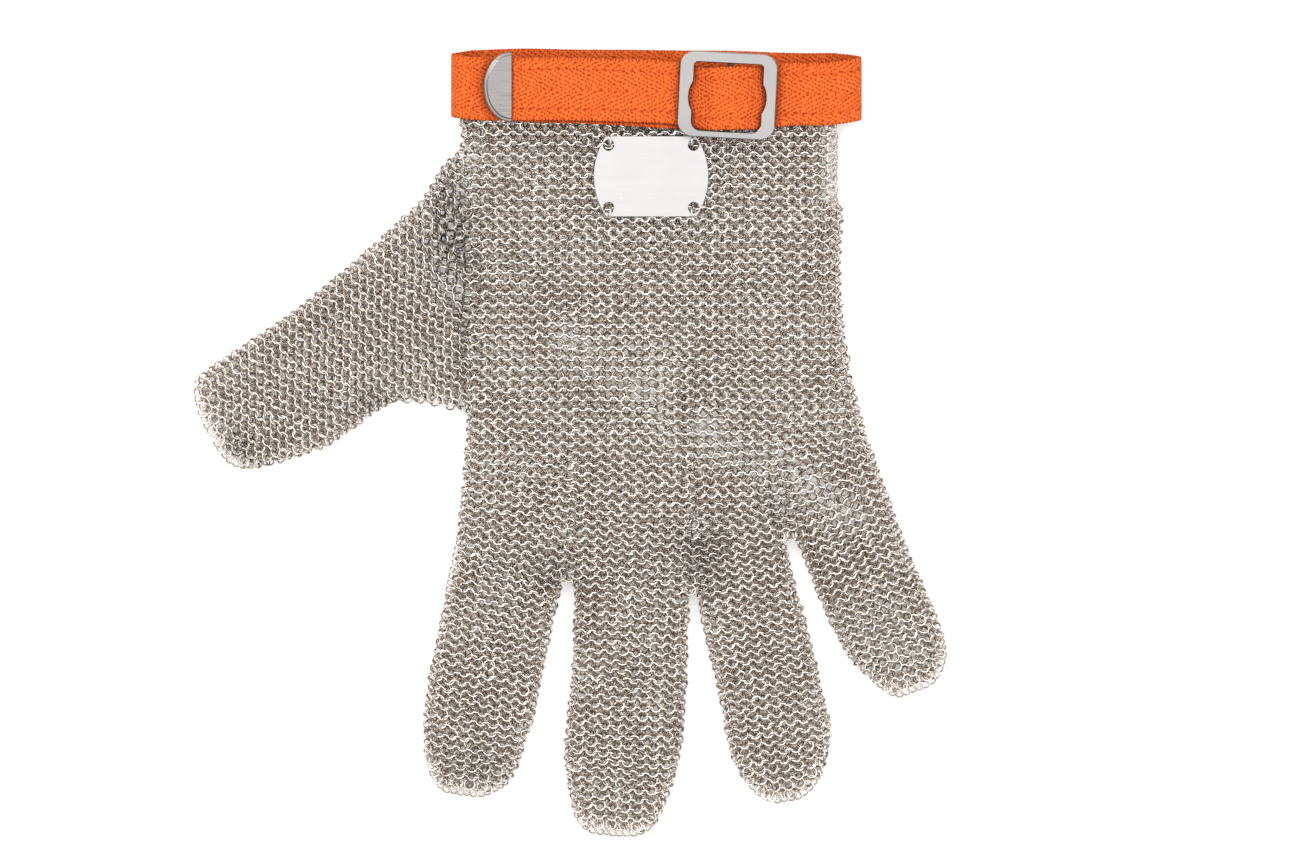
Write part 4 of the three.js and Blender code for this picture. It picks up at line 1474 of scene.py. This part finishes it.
@dataclass
class WristStrap:
    """One length of webbing, from its loop on the cross bar round the cuff and over to the end cap.

    All is in millimetres. crossing gives the way through the buckle as places beside it in half widths, with
    the layer and the share of the buckle's drop, and back_run the way behind the cuff as shares of its
    length, with the shift as a share of the width.
    """

    width: float = 20.0
    thickness: float = 1.2
    gap: float = 0.3
    middle_y: float = 111.7
    back_level: float = 0.65
    lower_level: float = 11.06
    left_fold: float = -31.36
    right_fold: float = 83.0
    left_slack: float = 0.7
    right_slack: float = 3.9
    buckle_x: float = 50.27
    buckle_drop: float = 2.7
    buckle_width: float = 31.7
    bar_width: float = 2.0
    bar_thickness: float = 1.2
    loop_slack: float = 1.4
    loop_ease: float = 0.15
    loop_tail: float = 2.0
    cap_x: float = -18.17
    cap_shift: float = 0.5
    cap_level: float = 13.16
    end_x: float = -19.5
    step: float = 0.54
    columns: int = 20
    edge_radius: float = 0.5
    edge_share: float = 0.94
    edge_band: float = 0.6
    scallop: float = 0.14
    wander: float = 0.16
    crossing: tuple[tuple[float, float, float], ...] = (
        (1.25, 0.0, 0.45), (0.85, 0.45, 0.75), (0.52, 1.3, 1.0), (0.27, 1.82, 1.0), (0.0, 2.0, 1.0),
        (-0.27, 1.82, 1.0), (-0.48, 1.27, 1.0), (-0.68, 1.0, 0.75), (-1.1, 1.0, 0.3),
    )
    back_run: tuple[tuple[float, float], ...] = (
        (0.01, 0.19), (0.15, 0.2), (0.35, 0.2), (0.7, 0.165), (0.99, 0.12),
    )

    def route(self) -> Array:
        """The webbing's middle line as chosen places: x, height and shift towards the cuff."""
        low = self.lower_level
        upper = low + self.thickness + self.gap
        bar = low + (self.thickness + self.bar_thickness) / 2.0 + self.gap + self.loop_ease
        crest = 2.0 * bar - low + self.thickness + self.gap
        reach = self.bar_width / 2.0 + self.gap + self.thickness / 2.0 + self.loop_slack
        middle = (low + self.back_level) / 2.0
        rise = (low - self.back_level) / 2.0
        loop = arc(self.buckle_x, bar, reach, 150.0, -90.0, 10, bar - low)
        left = arc(self.left_fold, middle, rise + self.left_slack, 90.0, 270.0, 10, rise)
        right = arc(self.right_fold, middle, rise + self.right_slack, -90.0, 90.0, 10, rise)
        drop = -self.buckle_drop
        spots = [(loop[0][0] - self.loop_tail, loop[0][1] - self.thickness / 2.0, drop)]
        spots += [(*spot, drop) for spot in loop]
        for share, drawn in ((0.8, 0.8), (0.4, 0.1)):
            spots.append((self.left_fold + share * (self.buckle_x - self.left_fold), low, drawn * drop))
        spots += [(*spot, (0.03 + 0.016 * i) * self.width) for i, spot in enumerate(left)]
        for share, shift in self.back_run:
            x = self.left_fold + share * (self.right_fold - self.left_fold)
            spots.append((x, self.back_level, shift * self.width))
        spots += [(*spot, (0.12 - 0.0165 * i) * self.width) for i, spot in enumerate(right)]
        for beside, level, drawn in self.crossing:
            height = low + (upper - low) * min(level, 1.0) + (crest - upper) * max(level - 1.0, 0.0)
            spots.append((self.buckle_x + beside * self.buckle_width / 2.0, height, drawn * drop))
        for share, height, shift in (
            (0.45, upper, 0.0), (0.16, (upper + self.cap_level) / 2.0, self.cap_shift / 2.0),
            (0.0, self.cap_level, self.cap_shift),
        ):
            spots.append((self.cap_x + share * (self.buckle_x - self.cap_x), height, shift))
        spots.append((self.end_x, self.cap_level, self.cap_shift))
        return np.array(spots)

    def smooth(self, spots: Array) -> Array:
        """A smooth line through chosen places, cut into even steps.

        Args:
            spots: The places.

        Returns:
            The line's points.
        """
        spots = np.concatenate([[2.0 * spots[0] - spots[1]], spots, [2.0 * spots[-1] - spots[-2]]])
        knots = np.concatenate([[0.0], np.cumsum(np.linalg.norm(np.diff(spots, axis=0), axis=1) ** 0.5)])
        line = []
        for i in range(1, len(spots) - 2):
            for t in np.linspace(knots[i], knots[i + 1], 40, endpoint=False):
                row = list(spots[i - 1 : i + 3])
                for apart, firsts in ((1, (0, 1, 2)), (2, (0, 1)), (1, (1,))):
                    row = [
                        ((knots[i + j + apart - 1] - t) * row[n] + (t - knots[i + j - 1]) * row[n + 1])
                        / (knots[i + j + apart - 1] - knots[i + j - 1])
                        for n, j in enumerate(firsts)
                    ]
                line.append(row[0])
        line = np.array([*line, spots[-2]])
        gone = distances(line)
        return points_along(line, gone, np.linspace(0.0, gone[-1], int(gone[-1] / self.step) + 1))

    def section(self) -> Array:
        """The webbing's section: across and up, a flat band with softly rounded, slightly thicker edges."""
        thick = self.thickness / 2.0
        side = self.width / 2.0 - self.edge_radius
        flat = np.linspace(-side, side, self.columns)
        right = arc(side, 0.0, self.edge_radius, -60.0, 60.0, 3, thick)
        left = arc(-side, 0.0, self.edge_radius, 120.0, 240.0, 3, thick)
        over = [(x, thick * self.edge_share) for x in flat[::-1]]
        under = [(x, -thick * self.edge_share) for x in flat]
        return np.array(over + left + under + right)

    def build(self, finish: bpy.types.Material) -> None:
        """Makes the strap, with its map of millimetres along and across.

        Args:
            finish: The webbing.
        """
        line = self.smooth(self.route())
        section = self.section()
        count, around = len(line), len(section)
        gone = np.arange(count) * self.step
        onward = unit(np.gradient(line[:, :2], axis=0))
        side = np.abs(section[:, 0]) - self.width / 2.0 + self.edge_band
        edge = np.clip(side / self.edge_band, 0.0, 1.0) * np.sign(section[:, 0])
        scallop = self.scallop * np.where(np.arange(count) % 2 == 0, 1.0, -1.0)
        sway = Waves(7, 26.0, 4).at(np.stack([gone, np.zeros(count)], axis=-1))
        y = self.middle_y + line[:, 2] + self.wander * sway
        points = np.empty((count, around, 3))
        points[:, :, 0] = line[:, :1] - onward[:, 1:] * section[:, 1]
        points[:, :, 1] = y[:, None] + section[:, 0] + edge * scallop[:, None]
        points[:, :, 2] = line[:, 1:2] + onward[:, :1] * section[:, 1]
        here = np.arange(count - 1)[:, None] * around + np.arange(around)
        beside = np.roll(here, -1, axis=1)
        quads = np.stack([here, beside, beside + around, here + around], axis=-1).reshape(-1, 4)
        piece = mesh_object("wrist_strap_webbing", points.reshape(-1, 3) * MM, quads)
        across = np.tile(section[:, 0] + self.width / 2.0, count)
        corners = np.empty(len(piece.data.loops), dtype=np.int32)
        piece.data.loops.foreach_get("vertex_index", corners)
        places = np.stack([np.repeat(gone, around), across], axis=-1)[corners]
        layer = piece.data.uv_layers.new(name="webbing")
        layer.data.foreach_set("uv", places.astype(np.float32).ravel())
        start = [*range(around)][::-1]
        add_faces(piece, [start, [*range((count - 1) * around, count * around)]])
        settle(piece, finish, "strap_webbing", "wrist_strap")


def cut_sheet(
    name: str, outlines: list[Outline], thickness: float, edge: float, steps: int = 3
) -> bpy.types.Object:
    """A flat sheet with rounded edges, cut to an outline with holes, lying on height 0.

    Args:
        name: The piece's name.
        outlines: The outline and the holes, in millimetres.
        thickness: The sheet's thickness in millimetres.
        edge: How far its edges are rounded.
        steps: How finely they are rounded.

    Returns:
        The object.
    """
    curve = bpy.data.curves.new(name, "CURVE")
    curve.dimensions = "2D"
    curve.fill_mode = "BOTH"
    for outline in outlines:
        spline = curve.splines.new("POLY")
        spline.points.add(len(outline) - 1)
        for point, (x, y) in zip(spline.points, outline):
            point.co = (x * MM, y * MM, 0.0, 1.0)
        spline.use_cyclic_u = True
    curve.extrude = (thickness / 2.0 - edge) * MM
    curve.bevel_depth = edge * MM
    curve.bevel_resolution = steps
    curve.offset = -edge * MM
    holder = linked(f"{name}_outline", curve)
    bpy.context.view_layer.update()
    mesh = bpy.data.meshes.new_from_object(holder.evaluated_get(bpy.context.evaluated_depsgraph_get()))
    bpy.data.objects.remove(holder)
    mesh.transform(Matrix.Translation((0.0, 0.0, thickness / 2.0 * MM)))
    mesh.materials.clear()
    mesh.name = name
    return linked(name, mesh)


def seat(
    piece: bpy.types.Object, place: tuple[float, float, float], sharp: float, turn: float = 0.0
) -> None:
    """Turns and moves a piece's mesh and shades it smooth apart from its sharp edges.

    Args:
        piece: The piece.
        place: Where its own zero goes, in millimetres.
        sharp: The angle in degrees from which an edge stays sharp.
        turn: The turn about the upright in degrees.
    """
    move = Matrix.Translation([value * MM for value in place])
    piece.data.transform(move @ Matrix.Rotation(math.radians(turn), 4, "Z"))
    piece.data.update()
    piece.data.polygons.foreach_set("use_smooth", [True] * len(piece.data.polygons))
    piece.data.set_sharp_from_angle(angle=math.radians(sharp))


@dataclass
class SlideBuckle:
    """A flat wire-edged frame with a notched window, and the cross bar under it, in millimetres."""

    width: float = 30.8
    side_bar: float = 4.4
    top_bar: float = 3.4
    bottom_bar: float = 2.0
    thickness: float = 1.6
    corner: float = 4.8
    window_corner: float = 1.1
    foot_corner: float = 3.0
    window_half: float = 10.85
    notch: float = 1.3
    turn: float = -3.0
    x: float = 49.85
    y: float = 109.25
    bar_x: float = 50.27
    base: float = 13.46
    bar_level: float = 12.71
    bar_width: float = 2.0
    bar_thickness: float = 1.2

    def window(self) -> Outline:
        """The window's outline, whose two sides bow out in a shallow notch."""
        half = self.width / 2.0 - self.side_bar
        high = self.window_half
        share = np.linspace(-1.0, 1.0, 33)
        rise = 0.42 * high * share
        bow = half + self.notch * (1.0 - share**2) ** 0.8
        foot, corner = self.foot_corner, self.window_corner
        points = arc(half - foot, foot - high, foot, -90.0, 0.0, 8)
        points += zip(bow, rise)
        points += arc(half - corner, high - corner, corner, 0.0, 90.0, 6)
        points += arc(corner - half, high - corner, corner, 90.0, 180.0, 6)
        points += zip(-bow[::-1], rise[::-1])
        return points + arc(foot - half, foot - high, foot, 180.0, 270.0, 8)

    def build(self, finish: bpy.types.Material, shaded_bar_finish: bpy.types.Material) -> None:
        """Makes the frame and its bar.

        Args:
            finish: The frame's steel.
            shaded_bar_finish: The bar's steel, painted near black as the shade it lies in under the frame and
                the webbing.
        """
        high = self.window_half + self.top_bar
        low = -self.window_half - self.bottom_bar
        outline = rounded_box(self.width / 2.0, low, high, self.corner, 14)
        rim = cut_sheet("buckle_frame", [outline, self.window()], self.thickness, 0.3)
        seat(rim, (self.x, self.y, self.base), 40.0, self.turn)
        settle(rim, finish, "buckle_steel", "slide_buckle")
        outline = rounded_box(self.bar_width / 2.0, low + 0.6, -low - 0.6, 0.3, 3)
        bar = cut_sheet("buckle_cross_bar", [outline], self.bar_thickness, 0.45)
        seat(bar, (self.bar_x, self.y, self.bar_level - self.bar_thickness / 2.0), 50.0, self.turn)
        settle(bar, shaded_bar_finish, "buckle_steel")


@dataclass
class EndCap:
    """The half-round metal cap pressed over the strap's free end, with a raised rim, in millimetres."""

    reach: float = 8.6
    half: float = 11.1
    mouth: float = 0.2
    rim: float = 1.2
    x: float = -18.6
    y: float = 112.6
    base: float = 11.96
    height: float = 3.1
    dish: float = 0.36
    wall: float = 0.5
    pocket: float = 2.6
    pocket_half: float = 10.3

    def levels(self) -> list[tuple[float, float]]:
        """Insets and heights from the cap's foot up its side, over the rim and in to the dished face."""
        top, face = self.height, self.height - self.dish
        return [
            (0.35, 0.0), (0.1, 0.1), (0.0, 0.35), (0.0, top - 0.55), (0.08, top - 0.25), (0.3, top - 0.06),
            (0.6, top), (0.9, top - 0.06), (self.rim, top - 0.28), (self.rim + 0.25, face),
            (self.rim + 0.6, face), (3.0, top - 0.32), (5.0, top - 0.3),
        ]

    def build(self, finish: bpy.types.Material) -> None:
        """Makes the cap, with a foot, a face and an open pocket round the webbing.

        Args:
            finish: The cap's steel.
        """
        rings = []
        for inset, height in self.levels():
            half = self.half - inset
            outline = arc(0.0, 0.0, self.reach - inset, 90.0, 270.0, 48, half)
            rings.append([(x, y, height) for x, y in ((self.mouth, half), *outline, (self.mouth, -half))])
        points = np.array(rings)
        count, around, _ = points.shape
        here = np.arange(count * around).reshape(count, around)
        quads = np.stack([here[:-1, :-1], here[:-1, 1:], here[1:, 1:], here[1:, :-1]], axis=-1)
        piece = mesh_object("end_cap_shell", points.reshape(-1, 3) * MM, quads.reshape(-1, 4))
        low, high, side = self.wall, self.height - self.dish - self.wall, self.pocket_half
        corners = ((side, low), (side, high), (-side, high), (-side, low))
        pocket = [(x, y, z) for x in (self.mouth, self.mouth - self.pocket) for y, z in corners]
        inner = [count * around + i for i in range(4)]
        back = [corner + 4 for corner in inner]
        first, last = here[:, 0].tolist(), here[:, -1].tolist()
        faces = [
            here[0].tolist(), here[-1, ::-1].tolist(), [first[0], last[0], inner[3], inner[0]],
            [*first, inner[1], inner[0]], [*reversed(last), inner[3], inner[2]],
            [first[-1], last[-1], inner[2], inner[1]],
        ]
        faces += [[inner[i], inner[i - 3], back[i - 3], back[i]] for i in range(4)]
        add_faces(piece, [*faces, back], pocket)
        seat(piece, (self.x, self.y, self.base), 38.0)
        settle(piece, finish, "cap_steel", "strap_end_cap")


@dataclass
class NamePlate:
    """The bare plate below the strap, with a hole in each corner and a small ring through each hole.

    All is in millimetres.
    """

    width: float = 36.3
    height: float = 25.5
    thickness: float = 0.8
    side_radius: float = 23.0
    hole: float = 3.5
    half_across: float = 13.5
    half_along: float = 9.9
    x: float = 25.75
    y: float = 84.5
    base: float = 10.41

    def outline(self) -> Outline:
        """The plate's outline: straight above and below, with bowed sides."""
        high = self.height / 2.0
        centre = self.width / 2.0 - self.side_radius
        sweep = math.degrees(math.asin((high - 0.6) / self.side_radius))
        right = arc(centre, 0.0, self.side_radius, -sweep, sweep, 24)
        left = arc(-centre, 0.0, self.side_radius, 180.0 - sweep, 180.0 + sweep, 24)
        top = [(right[-1][0] - 0.5, high), (left[0][0] + 0.5, high)]
        foot = [(left[-1][0] + 0.5, -high), (right[0][0] - 0.5, -high)]
        return right + top + left + foot

    def build(self, finish: bpy.types.Material, steel: bpy.types.Material, weave: Weave) -> None:
        """Makes the plate and its four rings.

        Args:
            finish: The plate's steel.
            steel: The rings' steel.
            weave: The mail's weave, whose rings these are.
        """
        holes: list[Outline] = []
        rings = RingSet()
        for side in (-1.0, 1.0):
            for end in (-1.0, 1.0):
                x, y = side * self.half_across, end * self.half_along
                holes.append(arc(x, y, self.hole / 2.0, 0.0, 345.0, 23))
                out = unit(np.array([0.3 * side, end, 0.0]))
                middle = out * 1.4 + [x + self.x, y + self.y, self.base + self.thickness / 2.0 - 0.1]
                standing = unit(UP + 0.75 * side * end * np.cross(UP, out))
                rings.add(middle[None] * MM, out, standing, UP, Sheet.FRONT)
        plate = cut_sheet("plate_sheet", [self.outline(), *holes], self.thickness, 0.14, 2)
        seat(plate, (self.x, self.y, self.base), 35.0)
        settle(plate, finish, "plate_steel", "name_plate")
        settle(RingMesher(weave, 24, 8).build("plate_rings", rings), steel, "mail_steel")


@dataclass
class Studio:
    """The pale floor, the soft lights and the camera straight above.

    The centre, the view and the heights are in millimetres. A lamp is its name, its place in metres, its
    width and its power.
    """

    centre: tuple[float, float] = (26.03, 2.86)
    view_width: float = 414.0
    focus_height: float = 8.0
    camera_height: float = 1600.0
    sensor: float = 36.0
    surround: float = 0.42
    floor_glow: float = 0.17
    floor_half: float = 3.0
    lamps: tuple[tuple[str, tuple[float, float, float], float, float], ...] = (
        ("overhead", (0.0, 0.0, 1.9), 3.4, 46.0),
        ("key", (-0.8, 0.85, 1.3), 0.7, 9.0),
        ("fill", (0.95, -0.5, 1.35), 0.7, 6.5),
    )

    def build(self) -> None:
        """Sets up everything around the glove."""
        self.camera()
        self.floor()
        self.lights()

    def camera(self) -> None:
        """The camera, looking straight down with the cuff at the top of the picture."""
        data = bpy.data.cameras.new("camera")
        data.sensor_width = self.sensor
        data.lens = self.sensor * (self.camera_height - self.focus_height) / self.view_width
        data.clip_end = 20.0
        camera = linked("camera", data)
        camera.location = [value * MM for value in (*self.centre, self.camera_height)]
        bpy.context.scene.camera = camera

    def floor(self) -> None:
        """A plain pale floor under the glove."""
        corners = np.array([(-1.0, -1.0, 0.0), (1.0, -1.0, 0.0), (1.0, 1.0, 0.0), (-1.0, 1.0, 0.0)])
        floor = mesh_object("floor", corners * self.floor_half, np.array([[0, 1, 2, 3]]))
        material, sketch, shader = new_material("floor_paper")
        sketch.put(shader, {
            "Base Color": (0.93, 0.93, 0.93, 1.0), "Roughness": 0.9, "Specular IOR Level": 0.1,
            "Emission Color": (1.0, 0.985, 0.975, 1.0), "Emission Strength": self.floor_glow,
        })
        floor.data.materials.append(material)

    def lights(self) -> None:
        """A large soft light overhead, two smaller ones to the sides and a dim surround."""
        for name, place, size, power in self.lamps:
            data = bpy.data.lights.new(name, "AREA")
            data.shape = "DISK"
            data.size = size
            data.energy = power
            light = linked(name, data)
            light.location = place
            fall = math.atan2(math.hypot(place[0], place[1]), place[2])
            light.rotation_euler = (fall, 0.0, math.atan2(place[1], place[0]) + math.pi / 2.0)
        world = bpy.data.worlds.new("surround")
        world.use_nodes = True
        background = next(node for node in world.node_tree.nodes if node.type == "BACKGROUND")
        background.inputs["Color"].default_value = (1.0, 1.0, 1.0, 1.0)
        background.inputs["Strength"].default_value = self.surround
        bpy.context.scene.world = world


def main() -> None:
    """Builds the glove and its studio."""
    logging.basicConfig(level=logging.INFO, format="%(message)s")
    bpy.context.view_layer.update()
    Studio().build()
    tarnish = tarnish_group()
    brushing = brush_group()
    wire_steel = WireSteel().make(tarnish)
    buckle_steel, bar_steel, cap_steel, plate_steel = (
        BrushedSteel(*values).make(tarnish, brushing) for values in (
            ("buckle_steel", (0.32, 0.312, 0.306, 1.0), (0.255, 0.247, 0.242, 1.0), 0.34, 0.1, True),
            # The cross bar's steel is painted near black as the shade it lies in under the frame and the
            # webbing.
            ("bar_steel", (0.1, 0.08, 0.07, 1.0), (0.06, 0.045, 0.04, 1.0), 0.5, 0.1, True),
            ("cap_steel", (0.25, 0.239, 0.23, 1.0), (0.1, 0.095, 0.091, 1.0), 0.3, 0.45),
            ("plate_steel", (0.46, 0.455, 0.45, 1.0), (0.405, 0.4, 0.394, 1.0), 0.36, 0.12),
        )
    )
    weave = Weave()
    MailHand(weave).build(wire_steel)
    WristStrap().build(HerringboneWebbing().make())
    SlideBuckle().build(buckle_steel, bar_steel)
    EndCap().build(cap_steel)
    NamePlate().build(plate_steel, wire_steel, weave)
    bpy.context.scene.view_settings.view_transform = "Standard"


if __name__ == "__main__":
    main()
